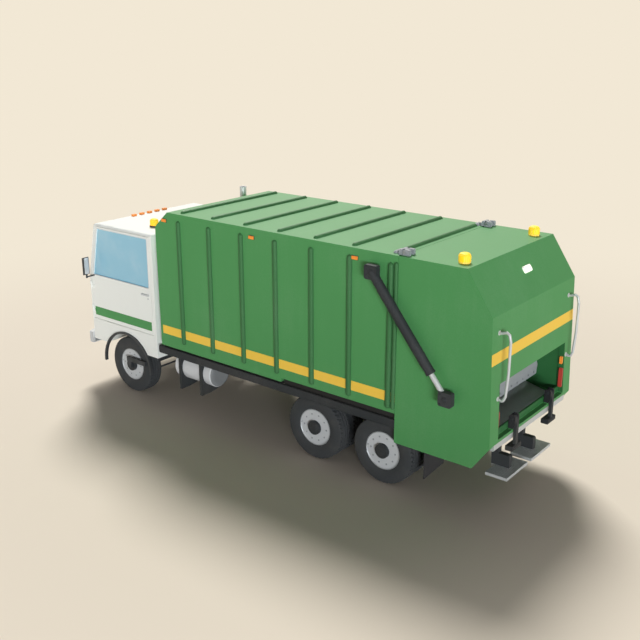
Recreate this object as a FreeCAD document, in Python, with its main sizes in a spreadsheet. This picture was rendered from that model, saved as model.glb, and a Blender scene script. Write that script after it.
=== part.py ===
import FreeCAD, Part
import math
import os

import Sketcher
from FreeCAD import Placement, Rotation, Vector

# Three-axle rear-loading garbage truck.
# Frame: +X forwards, +Y to the left, +Z up; the ground is Z = 0 and the origin lies on it,
# midway between the front of the bumper and the rear of the grab rails. All sizes in millimetres.

# ---------------------------------------------------------------- sizes
SIZES = {
    # running gear
    "front_axle_x": 3145,
    "wheelbase": 4930,          # front axle to the middle of the tandem
    "tandem_pitch": 1270,
    "tyre_radius": 520,
    "tyre_width": 280,
    "shoulder_round": 45,
    "wheel_face_y": 1160,       # outer sidewall of every outer tyre
    "twin_spacing": 330,
    "rim_radius": 300,
    "rim_wall": 16,
    "rim_face_inset": 32,
    "hub_radius": 112,
    "hub_reach": 14,
    "hub_bore": 38,
    "running_gap": 0.06,
    "seat_gap": 0.3,
    "kingpin_y": 900,
    "kingpin_radius": 22,
    "axle_eye_radius": 46,
    "axle_eye_half": 58,
    "fork_thick": 34,
    "fork_gap": 5.5,
    "spindle_web": 30,
    "steer_arm": 210,
    "steer_arm_inset": 95,
    "steer_arm_thick": 28,
    "tie_rod_radius": 18,
    "brake_radius": 185,
    "axle_tube_radius": 68,
    "axle_bowl_radius": 190,
    # frame
    "frame_half": 435,
    "frame_top": 1020,
    "frame_depth": 260,
    "frame_flange": 80,
    "frame_wall": 10,
    "frame_front_x": 4150,
    "frame_rear_x": -2640,
    "spring_y": 448,
    "spring_width": 76,
    # body
    "body_half": 1250,
    "body_front_x": 2170,
    "body_rear_x": -2680,
    "roof_z": 3520,
    "body_floor_z": 1165,
    "body_tail_floor_z": 1228,
    "floor_step_x": -560,
    "body_wall": 50,
    "floor_thick": 60,
    "nose_run": 307,
    "nose_drop": 274,
    "rib_first_x": 1601,
    "rib_pitch": 694,
    "rib_radius": 42,
    "roof_rib_radius": 40,
    "roof_rib_inset": 77,
    "side_rib_low_z": 1279,
    "side_rib_drop": 109,
    "post_radius": 31,
    "sill_low_z": 985,
    "sill_high_z": 1125,
    "sill_depth": 70,
    "sill_front_x": 2255,
    "sill_round": 28,
    # tailgate
    "joint_gap": 6,
    "tail_roof_x": -3725,
    "tail_crease_x": -4115,
    "tail_crease_drop": 580,
    "tail_rear_x": -4190,
    "tail_rear_z": 1150,
    "tail_heel_x": -3935,
    "tail_bottom_z": 779,
    "skirt_wall": 60,
    "hopper_wall": 230,
    "mouth_top_z": 1985,
    "mouth_sill_z": 1190,
    "hopper_floor_z": 1150,
    "hopper_pan_z": 1075,
    "lip_x": -4085,
    "lip_thick": 30,
    "lip_top_z": 1280,
    "rear_wall": 100,
    "hinge_x": -2734,
    "hinge_rise": 45,
    "hinge_inset": 130,
    "hinge_pin": 15,
    "hinge_round": 36,
    "hinge_half": 77,
    "hinge_tongue": 25,
    # lift cylinders
    "lift_out": 118,
    "lift_top_x": -2330,
    "lift_top_drop": 255,
    "lift_low_x": -3568,
    "lift_low_z": 1730,
    "lift_barrel_radius": 66,
    "lift_barrel_length": 1560,
    "lift_rod_radius": 38,
    "lift_pin": 30,
    "lift_boss": 70,
    "lift_block": 205,
    "lift_block_depth": 90,
    # packer blade and bin lifter
    "packer_x": -3510,
    "packer_z": 2350,
    "packer_shaft": 45,
    "packer_boss": 80,
    "packer_tip_x": -3713,
    "packer_tip_z": 1400,
    "packer_thick": 70,
    "packer_gap": 16,
    "lifter_y": 558,
    "lifter_pin_x": -4178,
    "lifter_pin_z": 1352,
    "lifter_pin": 16,
    "lifter_eye": 38,
    "lifter_foot_z": 895,
    "lifter_half": 32,
    # rear step and rails
    "rail_inset": 190,
    "rail_rear_x": -4310,
    "rail_radius": 19,
    "step_outer": 700,
    "step_inner": 60,
    "step_front_x": -3870,
    "step_rear_x": -4205,
    "step_z": 480,
    "step_thick": 45,
    "step_post_y": 420,
    # cab
    "cab_half": 1230,
    "cab_rear_x": 2320,
    "cab_front_x": 4070,
    "cab_roof_front_x": 3840,
    "cab_belt_z": 2050,
    "cab_roof_z": 3070,
    "cab_bottom_z": 853,
    "cab_floor_z": 1200,
    "cab_wall": 60,
    "arch_radius": 640,
    "arch_wall": 25,
    "well_depth": 440,
    "flare_thick": 38,
    "flare_out": 30,
    "flare_leg_z": 492,
    "door_rear_x": 2405,
    "door_front_x": 4020,
    "door_low_z": 1265,
    "door_high_z": 3020,
    "door_gap": 8,
    "window_low_z": 2108,
    "window_high_z": 2984,
    "window_frame": 36,
    "glass_thick": 8,
    "screen_inset": 120,
    "cab_round": 50,
    "screen_low_z": 2130,
    "bumper_front_x": 4310,
    "bumper_low_z": 735,
    "bumper_high_z": 945,
    "bumper_inset": 20,
    # tanks and stack
    "tank_radius": 245,
    "tank_inset": 265,
    "tank_z": 785,
    "tank_front_x": 2000,
    "tank_rear_x": 1080,
    "hanger_low_z": 410,
    "hanger_thick": 50,
    "stack_x": 2245,
    "stack_y": -970,
    "stack_radius": 60,
    "stack_top_z": 3600,
}


class Size:
    """A length that keeps its number together with its formula in the sheet."""

    def __init__(self, number, formula):
        self.number = number
        self.formula = formula

    def join(self, other, sign, number):
        return Size(number, "(%s %s %s)" % (self.formula, sign, size(other).formula))

    def __add__(self, other):
        return self.join(other, "+", self.number + size(other).number)

    def __sub__(self, other):
        return self.join(other, "-", self.number - size(other).number)

    def __mul__(self, other):
        return self.join(other, "*", self.number * size(other).number)

    def __truediv__(self, other):
        return self.join(other, "/", self.number / size(other).number)

    def __radd__(self, other):
        return size(other) + self

    def __rsub__(self, other):
        return size(other) - self

    def __rmul__(self, other):
        return size(other) * self

    def __neg__(self):
        return size(-1) * self


def size(value):
    if isinstance(value, Size):
        return value
    return Size(float(value), "%.9g" % value if value >= 0 else "(%.9g)" % value)


def root_of(value):
    return Size(math.sqrt(value.number), "sqrt(%s)" % value.formula)


class Sheet:
    """Every driving size as an attribute, tied to its cell in the spreadsheet."""


doc = FreeCAD.newDocument("GarbageTruck")
cells = doc.addObject("Spreadsheet::Sheet", "Sizes")
S = Sheet()
for row, (name, number) in enumerate(SIZES.items(), start=1):
    cells.set("A%d" % row, name)
    cells.set("B%d" % row, str(number))
    cells.setAlias("B%d" % row, name)
    setattr(S, name, Size(float(number), "Sizes.%s" % name))
doc.recompute()

NODES = []
TURN = {"X": Rotation(Vector(0, 1, 0), 90), "Y": Rotation(Vector(1, 0, 0), -90), "Z": Rotation()}
PLANE_OF = {"X": "YZ_Plane", "Y": "XZ_Plane", "Z": "XY_Plane"}
# the two sides of the truck: its sign along Y, and the word used in names
SIDES = ((1, "left"), (-1, "right"))


# ---------------------------------------------------------------- making shapes
def bind(thing, prop, value):
    thing.setExpression(prop, size(value).formula)


def put(thing, at, turn=None):
    """Place an object at a point whose coordinates are sizes."""
    start = Vector(*[size(c).number for c in at])
    thing.Placement = Placement(start, turn or Rotation())
    for letter, c in zip("xyz", at):
        bind(thing, "Placement.Base." + letter, c)
    return thing


def box(name, low, high):
    thing = doc.addObject("Part::Box", name)
    for prop, a, b in zip(("Length", "Width", "Height"), low, high):
        bind(thing, prop, size(b) - a)
    return put(thing, low)


def rod(name, start, radius, length, axis):
    """A round bar from its start point along the positive axis."""
    thing = doc.addObject("Part::Cylinder", name)
    bind(thing, "Radius", radius)
    bind(thing, "Height", length)
    return put(thing, start, TURN[axis])


def fuse(name, things):
    if len(things) == 1:
        return things[0]
    result = doc.addObject("Part::MultiFuse", name)
    result.Shapes = things
    result.Refine = True
    return result


def cut(name, base, tools):
    result = doc.addObject("Part::Cut", name)
    result.Base = base
    result.Tool = fuse(name + "_tools", tools)
    result.Refine = True
    return result


def common(name, things):
    result = doc.addObject("Part::MultiCommon", name)
    result.Shapes = things
    return result


def gather(name, things):
    """Solids of one piece kind that do not touch each other."""
    result = doc.addObject("Part::Compound", name)
    result.Links = things
    return result


def mirrored(name, thing):
    """The same piece on the other side of the truck."""
    result = doc.addObject("Part::Mirroring", name)
    result.Source = thing
    result.Normal = Vector(0, 1, 0)
    return result


def both_sides(name, thing):
    return gather(name, [thing, mirrored(name + "_other", thing)])


def outline(body, name, plane, points):
    """A closed sketch of straight lines, every corner dimensioned from the origin."""
    sketch = body.newObject("Sketcher::SketchObject", name)
    base = [o for o in body.Origin.OriginFeatures if o.Role == plane][0]
    sketch.AttachmentSupport = (base, [""])
    sketch.MapMode = "FlatFace"
    corners = [(size(a), size(b)) for a, b in points]
    count = len(corners)
    for i in range(count):
        here = corners[i]
        there = corners[(i + 1) % count]
        sketch.addGeometry(Part.LineSegment(
            Vector(here[0].number, here[1].number, 0),
            Vector(there[0].number, there[1].number, 0)))
    for i in range(count):
        sketch.addConstraint(Sketcher.Constraint("Coincident", i, 2, (i + 1) % count, 1))
    for i, (a, b) in enumerate(corners):
        for kind, value in (("DistanceX", a), ("DistanceY", b)):
            index = sketch.addConstraint(Sketcher.Constraint(kind, i, 1, value.number))
            sketch.setExpression("Constraints[%d]" % index, value.formula)
    return sketch


def slab(name, axis, points, low, high, rounds=()):
    """A padded outline between two levels of an axis; rounds lists (corner indexes, radius)."""
    body = doc.addObject("PartDesign::Body", name)
    sketch = outline(body, name + "_outline", PLANE_OF[axis], points)
    pad = body.newObject("PartDesign::Pad", name + "_pad")
    pad.Profile = sketch
    pad.SideType = "Symmetric"
    bind(pad, "Length", size(high) - low)
    middle = (size(high) + low) / 2
    put(body, [middle if letter == axis else 0 for letter in "XYZ"])
    body.Tip = pad
    if rounds:
        doc.recompute()
    for number, (corners, radius) in enumerate(rounds):
        wanted = [points[i] for i in corners]
        base = body.Tip
        fillet = body.newObject("PartDesign::Fillet", "%s_round%d" % (name, number))
        fillet.Base = (base, corner_edges(base.Shape, axis, wanted))
        bind(fillet, "Radius", radius)
        body.Tip = fillet
        doc.recompute()
    return body


def corner_edges(shape, axis, corners):
    """Names of the straight edges along an axis that pass through given outline corners."""
    keep = {"X": (1, 2), "Y": (0, 2), "Z": (0, 1)}[axis]
    wanted = [(size(a).number, size(b).number) for a, b in corners]
    names = []
    for index, edge in enumerate(shape.Edges, start=1):
        ends = [v.Point for v in edge.Vertexes]
        if len(ends) != 2:
            continue
        flat = [(p[keep[0]], p[keep[1]]) for p in ends]
        for spot in wanted:
            if all(abs(f[0] - spot[0]) < 0.01 and abs(f[1] - spot[1]) < 0.01 for f in flat):
                names.append("Edge%d" % index)
    return names


def ball(name, at, radius):
    thing = doc.addObject("Part::Sphere", name)
    bind(thing, "Radius", radius)
    return put(thing, at)


def tube_run(name, points, radius):
    """A bar of round section through a row of points, with a ball at every bend."""
    pieces = []
    for number, (a, b) in enumerate(zip(points, points[1:])):
        start = Vector(*[size(c).number for c in a])
        end = Vector(*[size(c).number for c in b])
        bar = doc.addObject("Part::Cylinder", "%s_run_%d" % (name, number))
        bind(bar, "Radius", radius)
        bar.Height = (end - start).Length
        put(bar, a, Rotation(Vector(0, 0, 1), end - start))
        pieces.append(bar)
        if number:
            pieces.append(ball("%s_bend_%d" % (name, number), a, radius))
    return fuse(name, pieces)


def low_high(side, a, b):
    """Two distances from the centre plane as a rising pair on one side of the truck."""
    return sorted((size(a) * side, size(b) * side), key=lambda s: s.number)


def turned(name, axis, points, at):
    """A solid of revolution; points are (along the axis, radius), measured from the place."""
    body = doc.addObject("PartDesign::Body", name)
    plane, line = {"X": ("XZ_Plane", "H_Axis"), "Y": ("YZ_Plane", "H_Axis"),
                   "Z": ("XZ_Plane", "V_Axis")}[axis]
    if axis == "Z":
        points = [(b, a) for a, b in points]
    sketch = outline(body, name + "_outline", plane, points)
    spin = body.newObject("PartDesign::Revolution", name + "_spin")
    spin.Profile = sketch
    spin.ReferenceAxis = (sketch, [line])
    spin.Angle = 360
    body.Tip = spin
    return put(body, at)


def node(name, thing):
    """Name a finished piece."""
    thing.Label = name
    NODES.append(thing)
    return thing


# ---------------------------------------------------------------- places worked out from the sizes
wheel_z = S.tyre_radius
tandem_x = S.front_axle_x - S.wheelbase
# the two driven axles: name number, place along X
REAR_AXLES = ((1, tandem_x + S.tandem_pitch / 2), (2, tandem_x - S.tandem_pitch / 2))
outer_tyre_y = S.wheel_face_y - S.tyre_width / 2
inner_tyre_y = outer_tyre_y - S.twin_spacing
frame_low = S.frame_top - S.frame_depth
tail_x = S.body_rear_x - S.joint_gap
tail_crease_z = S.roof_z - S.tail_crease_drop
hopper_half = S.body_half - S.hopper_wall
mouth_half = hopper_half - 10
packer_half = hopper_half - S.packer_gap
sill_inner_y = S.body_half - S.sill_depth
hinge_y = S.body_half - S.hinge_inset
hinge_z = S.roof_z + S.hinge_rise
lift_y = S.body_half + S.lift_out
lift_top_z = S.roof_z - S.lift_top_drop
tank_y = sill_inner_y - S.tank_inset
screen_half = S.cab_half - S.screen_inset
well_inner_y = S.cab_half - S.well_depth
bumper_half = S.cab_half - S.bumper_inset
rake = (S.cab_front_x - S.cab_roof_front_x) / (S.cab_roof_z - S.cab_belt_z)
lean = (S.tail_crease_x - S.tail_rear_x) / (tail_crease_z - S.tail_rear_z)


def cab_face_x(z):
    """Front of the cab above the belt line."""
    return S.cab_front_x - (size(z) - S.cab_belt_z) * rake


def tail_face_x(z):
    """Rear face of the tailgate below its crease."""
    return S.tail_rear_x + (size(z) - S.tail_rear_z) * lean


# ---------------------------------------------------------------- wheels
def tyre(name, x, y):
    half = S.tyre_width / 2
    r = S.tyre_radius
    bead = S.rim_radius - 4
    shoulder = S.shoulder_round
    return turned(name, "Y", [
        (-half + 22, bead), (-half, bead + 60), (-half, r - shoulder * 1.6),
        (-half + shoulder * 0.45, r - shoulder * 0.35), (-half + shoulder * 1.2, r),
        (half - shoulder * 1.2, r), (half - shoulder * 0.45, r - shoulder * 0.35),
        (half, r - shoulder * 1.6), (half, bead + 60), (half - 22, bead)], (x, y, wheel_z))


def rim_outline(side, inner_y, outer_y, disc_y, hub_inner_y, hub_outer_y):
    """Cross-section of a steel rim with its flat disc and hub, as (along Y, radius)."""
    seat = S.rim_radius - 4 - S.seat_gap
    wall = S.rim_wall
    bore = S.hub_bore + S.running_gap
    points = [
        (inner_y, seat), (outer_y, seat), (outer_y, seat - wall),
        (disc_y + wall, seat - wall), (disc_y + wall, S.hub_radius),
        (hub_outer_y, S.hub_radius), (hub_outer_y, bore), (hub_inner_y, bore),
        (hub_inner_y, S.hub_radius), (disc_y, S.hub_radius), (disc_y, seat - wall),
        (inner_y, seat - wall)]
    return [(a * side, b) for a, b in points]


def front_wheel(side, word):
    y = outer_tyre_y * side
    node("front_tyre_" + word, tyre("front_tyre_" + word, S.front_axle_x, y))
    rim = turned("front_rim_" + word, "Y", rim_outline(
        side, S.wheel_face_y - S.tyre_width + 22, S.wheel_face_y - 22,
        S.wheel_face_y - S.rim_face_inset - S.rim_wall,
        S.kingpin_y + S.axle_eye_radius + S.fork_gap + S.spindle_web + 4,
        S.wheel_face_y + S.hub_reach), (S.front_axle_x, 0, wheel_z))
    node("front_rim_" + word, rim)


def rear_wheel(side, word, number, x):
    name = "rear_tyres_%d_%s" % (number, word)
    pair = [tyre("%s_%s" % (name, tag), x, y * side)
            for tag, y in (("outer", outer_tyre_y), ("inner", inner_tyre_y))]
    node(name, gather(name, pair))
    name = "rear_rims_%d_%s" % (number, word)
    outer = turned(name + "_outer", "Y", rim_outline(
        side, S.wheel_face_y - S.tyre_width + 22, S.wheel_face_y - 22,
        S.wheel_face_y - S.rim_face_inset - S.rim_wall,
        inner_tyre_y - S.tyre_width / 2 + 40, S.wheel_face_y + S.hub_reach),
        (x, 0, wheel_z))
    inner_face = inner_tyre_y + S.tyre_width / 2
    wall = S.rim_wall
    seat = S.rim_radius - 4 - S.seat_gap
    inner = turned(name + "_inner", "Y", [(a * side, b) for a, b in [
        (inner_face - S.tyre_width + 22, seat), (inner_face - 22, seat),
        (inner_face - 22, seat - wall), (inner_face - 60, seat - wall),
        (inner_face - 60, S.hub_radius - 20), (inner_face - 60 - wall, S.hub_radius - 20),
        (inner_face - 60 - wall, seat - wall), (inner_face - S.tyre_width + 22, seat - wall)]],
        (x, 0, wheel_z))
    node(name, fuse(name, [outer, inner]))


for side, word in SIDES:
    front_wheel(side, word)
    for number, x in REAR_AXLES:
        rear_wheel(side, word, number, x)


# ---------------------------------------------------------------- axles and steering
def front_axle():
    x = S.front_axle_x
    beam = slab("front_beam", "X", [
        (-S.kingpin_y + 10, wheel_z - 40), (-S.kingpin_y + 200, wheel_z - 125),
        (S.kingpin_y - 200, wheel_z - 125), (S.kingpin_y - 10, wheel_z - 40),
        (S.kingpin_y - 10, wheel_z + 40), (S.kingpin_y - 150, wheel_z + 40),
        (S.kingpin_y - 210, wheel_z - 15), (-S.kingpin_y + 210, wheel_z - 15),
        (-S.kingpin_y + 150, wheel_z + 40), (-S.kingpin_y + 10, wheel_z + 40)],
        x - 42, x + 42)
    solids = [beam]
    bores = []
    for side, word in SIDES:
        eye_low = (x, S.kingpin_y * side, wheel_z - S.axle_eye_half)
        solids.append(rod("front_eye_" + word, eye_low, S.axle_eye_radius,
                          S.axle_eye_half * 2, "Z"))
        bores.append(rod("front_eye_bore_" + word, eye_low,
                         S.kingpin_radius + S.running_gap, S.axle_eye_half * 2, "Z"))
    return cut("front_axle", fuse("front_axle_solid", solids), bores)


def knuckle(side, word):
    """Fork round the axle eye with its kingpin, spindle, steering arm and outer step bar."""
    x = S.front_axle_x
    name = "knuckle_" + word
    y = S.kingpin_y * side
    ear_low = S.axle_eye_half + S.fork_gap
    ear_high = ear_low + S.fork_thick
    web_in = S.kingpin_y + S.axle_eye_radius + S.fork_gap
    web_out = web_in + S.spindle_web
    solids = []
    for tag, low in (("upper", wheel_z + ear_low), ("lower", wheel_z - ear_high)):
        solids.append(rod("%s_%s_ear" % (name, tag), (x, y, low), S.axle_eye_radius,
                          S.fork_thick, "Z"))
        solids.append(slab("%s_%s_arm" % (name, tag), "Z", [
            (x - 38, y), (x + 38, y), (x + 38, web_out * side), (x - 38, web_out * side)],
            low, low + S.fork_thick))
    solids.append(slab(name + "_web", "Y", [
        (x - 46, wheel_z - ear_high), (x + 46, wheel_z - ear_high),
        (x + 46, wheel_z + ear_high), (x - 46, wheel_z + ear_high)],
        *sorted((web_in * side, web_out * side), key=lambda s: s.number)))
    solids.append(rod(name + "_pin", (x, y, wheel_z - ear_high), S.kingpin_radius,
                      ear_high * 2, "Z"))
    spindle_end = S.wheel_face_y + S.hub_reach + 18
    spindle_start = web_in if side > 0 else -spindle_end
    solids.append(rod(name + "_spindle", (x, spindle_start, wheel_z), S.hub_bore,
                      spindle_end - web_in, "Y"))
    bar_in = S.wheel_face_y + S.hub_reach + 6
    bar_out = S.wheel_face_y + S.hub_reach + 46
    solids.append(slab(name + "_step", "Y", [
        (x + 55, wheel_z + 80), (x - 440, wheel_z + 80), (x - 440, wheel_z + 165),
        (x + 55, wheel_z + 165)],
        *sorted((bar_in * side, bar_out * side), key=lambda s: s.number)))
    solids.append(slab(name + "_step_drop", "Y", [
        (x + 45, wheel_z - 45), (x + 45, wheel_z + 100), (x - 45, wheel_z + 100),
        (x - 45, wheel_z - 45)],
        *sorted((bar_in * side, bar_out * side), key=lambda s: s.number)))
    arm_top = wheel_z - ear_high
    arm_y = S.kingpin_y - S.steer_arm_inset
    solids.append(slab(name + "_steer_arm", "Z", [
        (x + 30, (S.kingpin_y - 36) * side), (x + 30, (S.kingpin_y + 30) * side),
        (x - 60, (S.kingpin_y + 20) * side), (x - S.steer_arm - 28, (arm_y + 26) * side),
        (x - S.steer_arm - 28, (arm_y - 26) * side), (x - 60, (S.kingpin_y - 60) * side)],
        arm_top - S.steer_arm_thick, arm_top))
    node(name, fuse(name, solids))
    return arm_y, arm_top - S.steer_arm_thick


def tie_rod(arm_y, arm_low):
    x = S.front_axle_x - S.steer_arm
    thick = S.tie_rod_radius * 2 + 6
    z = arm_low - S.seat_gap - thick
    solids = [rod("tie_rod_bar", (x, -arm_y, z + thick / 2), S.tie_rod_radius, arm_y * 2,
                  "Y")]
    for side, word in SIDES:
        solids.append(rod("tie_rod_eye_" + word, (x, arm_y * side, z), 30, thick, "Z"))
    node("tie_rod", fuse("tie_rod", solids))


def rear_axle(number, x):
    """Tube housing with its round differential bowl, brake drums and two spindles."""
    name = "rear_axle_%d" % number
    drum_out = inner_tyre_y - S.tyre_width / 2 + 30
    solids = [
        rod(name + "_tube", (x, -drum_out, wheel_z), S.axle_tube_radius, drum_out * 2, "Y"),
        turned(name + "_bowl", "X", [
            (-170, 0), (-150, 90), (-60, S.axle_bowl_radius), (60, S.axle_bowl_radius),
            (130, 110), (240, 60), (240, 0)], (x, 0, wheel_z))]
    tip = S.wheel_face_y - 20
    solids.append(rod(name + "_spindles", (x, -tip, wheel_z), S.hub_bore, tip * 2, "Y"))
    for side, word in SIDES:
        start = drum_out - 90 if side > 0 else -drum_out
        solids.append(rod("%s_drum_%s" % (name, word), (x, start, wheel_z), S.brake_radius, 90,
                          "Y"))
    return fuse(name, solids)


node("axles", gather("axles", [front_axle()] + [rear_axle(n, x) for n, x in REAR_AXLES]))
for side, word in SIDES:
    arm_place = knuckle(side, word)
tie_rod(*arm_place)


# ---------------------------------------------------------------- springs
def front_spring():
    x = S.front_axle_x
    seat = wheel_z - 15
    low = S.spring_y - 55 - S.spring_width / 2
    high = S.spring_y - 55 + S.spring_width / 2
    pack = slab("front_pack", "Y", [
        (x - 60, seat), (x + 60, seat), (x + 140, seat + 60), (x + 620, seat + 140),
        (x + 620, seat + 165), (x + 140, seat + 110), (x - 140, seat + 110),
        (x - 620, seat + 165), (x - 620, seat + 140), (x - 140, seat + 60)], low, high)
    solids = [pack]
    for tag, place in (("fore", x + 600), ("aft", x - 600)):
        solids.append(box("front_hanger_" + tag, (place - 30, low, seat + 142),
                          (place + 30, high, frame_low)))
    return fuse("front_spring", solids)


def rear_spring():
    """Leaf pack from axle to axle with its saddle under the frame."""
    fore = REAR_AXLES[0][1]
    aft = REAR_AXLES[1][1]
    seat = wheel_z + S.axle_tube_radius - 4
    low = S.spring_y - S.spring_width / 2
    high = S.spring_y + S.spring_width / 2
    pack = slab("rear_pack", "Y", [
        (aft - 70, seat), (aft + 70, seat), (tandem_x - 200, seat - 40),
        (tandem_x + 200, seat - 40), (fore - 70, seat), (fore + 70, seat),
        (fore + 70, seat + 30), (tandem_x + 160, seat + 95), (tandem_x - 160, seat + 95),
        (aft - 70, seat + 30)], low, high)
    saddle = slab("rear_saddle", "Y", [
        (tandem_x - 110, seat + 60), (tandem_x + 110, seat + 60),
        (tandem_x + 170, frame_low + 110), (tandem_x - 170, frame_low + 110)],
        S.frame_half, high)
    return fuse("rear_spring", [pack, saddle])


rear_spring_shape = cut("rear_spring_seated", rear_spring(), [
    rod("spring_seat_%d" % n, (x, 0, wheel_z), S.axle_tube_radius, 900, "Y")
    for n, x in REAR_AXLES])
node("springs", gather("springs", [both_sides("front_springs", front_spring()),
                                   both_sides("rear_springs", rear_spring_shape)]))


# ---------------------------------------------------------------- frame
# cross-members: place along X, depth below the frame's top
CROSS_MEMBERS = ((-2560, 20), (-1785, 20), (-450, 20), (900, 20), (3800, 20), (4080, 20))
HANGERS_X = (1300, 1800)


def frame_rails():
    top = S.frame_top
    inner = S.frame_half - S.frame_flange
    t = S.frame_wall
    rail = slab("frame_rail", "X", [
        (inner, frame_low), (S.frame_half, frame_low), (S.frame_half, top), (inner, top),
        (inner, top - t), (S.frame_half - t, top - t), (S.frame_half - t, frame_low + t),
        (inner, frame_low + t)], S.frame_rear_x, S.frame_front_x)
    solids = [rail, mirrored("frame_rail_right", rail)]
    for number, (x, drop) in enumerate(CROSS_MEMBERS):
        solids.append(box("cross_member_%d" % number,
                          (x - 30, -S.frame_half + t, top - drop - 120),
                          (x + 30, S.frame_half - t, top - drop)))
    for number, x in enumerate(HANGERS_X):
        solids.extend(tank_hanger(side, word, number, x) for side, word in SIDES)
    cab_mounts = (S.cab_rear_x + S.cab_wall / 2, S.cab_front_x - S.cab_wall / 2)
    for number, x in enumerate(cab_mounts):
        for side, word in SIDES:
            y = (S.frame_half - 30) * side
            solids.append(box("cab_mount_%d_%s" % (number, word), (x - 25, y - 30, top),
                              (x + 25, y + 30, S.cab_floor_z - 50)))
    node("frame_rails", gather("frame_rails", solids))


def tank_hanger(side, word, number, x):
    """Upright plate from the frame rail to the side sill, bored for the tank."""
    name = "tank_hanger_%d_%s" % (number, word)
    outer = sill_inner_y + 20
    plate = slab(name + "_plate", "X", [
        (S.frame_half * side, frame_low + 60), (700 * side, S.hanger_low_z + 40),
        (1000 * side, S.hanger_low_z), (outer * side, S.hanger_low_z),
        (outer * side, S.sill_low_z), (sill_inner_y * side, S.sill_low_z),
        (sill_inner_y * side, S.frame_top), (S.frame_half * side, S.frame_top)],
        x - S.hanger_thick / 2, x + S.hanger_thick / 2)
    hole = rod(name + "_hole", (x - S.hanger_thick, tank_y * side, S.tank_z),
               S.tank_radius + S.seat_gap, S.hanger_thick * 2, "X")
    return cut(name, plate, [hole])


def side_tank():
    """Round tank with dished ends."""
    length = S.tank_front_x - S.tank_rear_x
    r = S.tank_radius
    end = [(0, 0), (0, r - 75), (8, r - 42), (24, r - 16), (52, r)]
    profile = end + [(length - a, b) for a, b in reversed(end)]
    return turned("tank_shell", "X", profile, (S.tank_rear_x, tank_y, S.tank_z))


# outriggers that carry the side sills: place along X
OUTRIGGERS = (2080, 400, -450, -1785, -2600)


def body_sills():
    """Dark rails below the body's sides, each on short outriggers from the frame."""
    low = S.sill_low_z
    high = S.sill_high_z
    rail = slab("sill_rail", "X", [
        (sill_inner_y, low), (S.body_half, low), (S.body_half, high),
        (sill_inner_y, high)], S.body_rear_x, S.sill_front_x,
        [((0, 1, 2, 3), S.sill_round)])
    solids = [rail]
    for number, x in enumerate(OUTRIGGERS):
        solids.append(box("outrigger_%d" % number, (x - 20, S.frame_half, 1060),
                          (x + 20, sill_inner_y + 30, high - S.sill_round)))
    return fuse("sill_left", solids)


frame_rails()
node("side_tanks", both_sides("side_tanks", side_tank()))
node("body_sills", both_sides("body_sills", body_sills()))


def driveline():
    """Engine and gearbox as plain masses, with the shafts to both driven axles."""
    x = S.front_axle_x
    half = S.frame_half - S.frame_flange - 15
    engine = [box("engine_mass", (x - 675, -half, 620), (x + 325, half, 1170))]
    web = S.frame_half - S.frame_wall
    for number, place in enumerate((x - 560, x + 210)):
        engine.append(box("engine_mount_%d" % number, (place - 40, -web, 840),
                          (place + 40, web, 900)))
    gearbox = box("gearbox_mass", (x - 1345, -200, 640), (x - 675, 200, 1000))
    fore = REAR_AXLES[0][1]
    start = Vector((x - 1345).number, 0, 760)
    end = Vector(fore.number + 246, 0, wheel_z.number)
    shaft = doc.addObject("Part::Cylinder", "main_shaft")
    bind(shaft, "Radius", 50)
    shaft.Height = (end - start).Length
    shaft.Placement = Placement(end, Rotation(Vector(0, 0, 1), start - end))
    main = fuse("engine_line", engine + [gearbox, shaft])
    aft = REAR_AXLES[1][1]
    link = rod("axle_shaft", (aft + 240, 0, wheel_z), 45, fore - 170 - aft - 240, "X")
    return gather("driveline", [main, link])


node("driveline", driveline())


def exhaust():
    """Stack on the right behind the cab, fed by a pipe over the frame from the engine."""
    x = S.stack_x
    y = S.stack_y
    z = 1095
    engine_x = S.front_axle_x - 675
    stack = rod("stack_pipe", (x, y, z), S.stack_radius, S.stack_top_z - z, "Z")
    cross = rod("stack_cross", (x, y, z), 45, -200 - y, "Y")
    feed = rod("stack_feed", (x, -200, z), 45, engine_x - x, "X")
    elbow = doc.addObject("Part::Sphere", "stack_elbow")
    bind(elbow, "Radius", 45)
    put(elbow, (x, -200, z))
    bore = rod("stack_bore", (x, y, S.stack_top_z - 400), S.stack_radius - 8, 500, "Z")
    return cut("exhaust_stack", fuse("stack_solid", [stack, cross, feed, elbow]), [bore])


node("exhaust_stack", exhaust())


def front_bumper():
    x = S.bumper_front_x
    back = S.frame_front_x
    half = bumper_half
    shell = slab("bumper_shell", "Z", [
        (back, -half), (x - 60, -half), (x, -half + 160), (x, half - 160), (x - 60, half),
        (back, half)], S.bumper_low_z, S.bumper_high_z, [((2, 3), 90)])
    hollow = slab("bumper_hollow", "Z", [
        (back - 10, -half + 40), (x - 90, -half + 40), (x - 40, -half + 175),
        (x - 40, half - 175), (x - 90, half - 40), (back - 10, half - 40)],
        S.bumper_low_z + 12, S.bumper_high_z - 12)
    frame_ends = [box("bumper_bracket_" + word, (back, S.frame_half * side - 40,
                                                 S.bumper_low_z + 40),
                      (x - 40, S.frame_half * side + 40, S.bumper_high_z - 20))
                  for side, word in SIDES]
    return fuse("front_bumper", [cut("bumper_open", shell, [hollow])] + frame_ends)


node("front_bumper", front_bumper())


# ---------------------------------------------------------------- refuse body
RIB_COUNT = 7
rib_places = [S.rib_first_x - S.rib_pitch * i for i in range(RIB_COUNT)]


def side_rib(number, x, radius, high_z):
    """Half-round stiffener with domed ends on the left side."""
    name = "side_rib_%d" % number
    low = S.side_rib_low_z + radius
    high = high_z - radius
    y = S.body_half
    return fuse(name, [rod(name + "_bar", (x, y, low), radius, high - low, "Z"),
                       ball(name + "_foot", (x, y, low), radius),
                       ball(name + "_head", (x, y, high), radius)])


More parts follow.
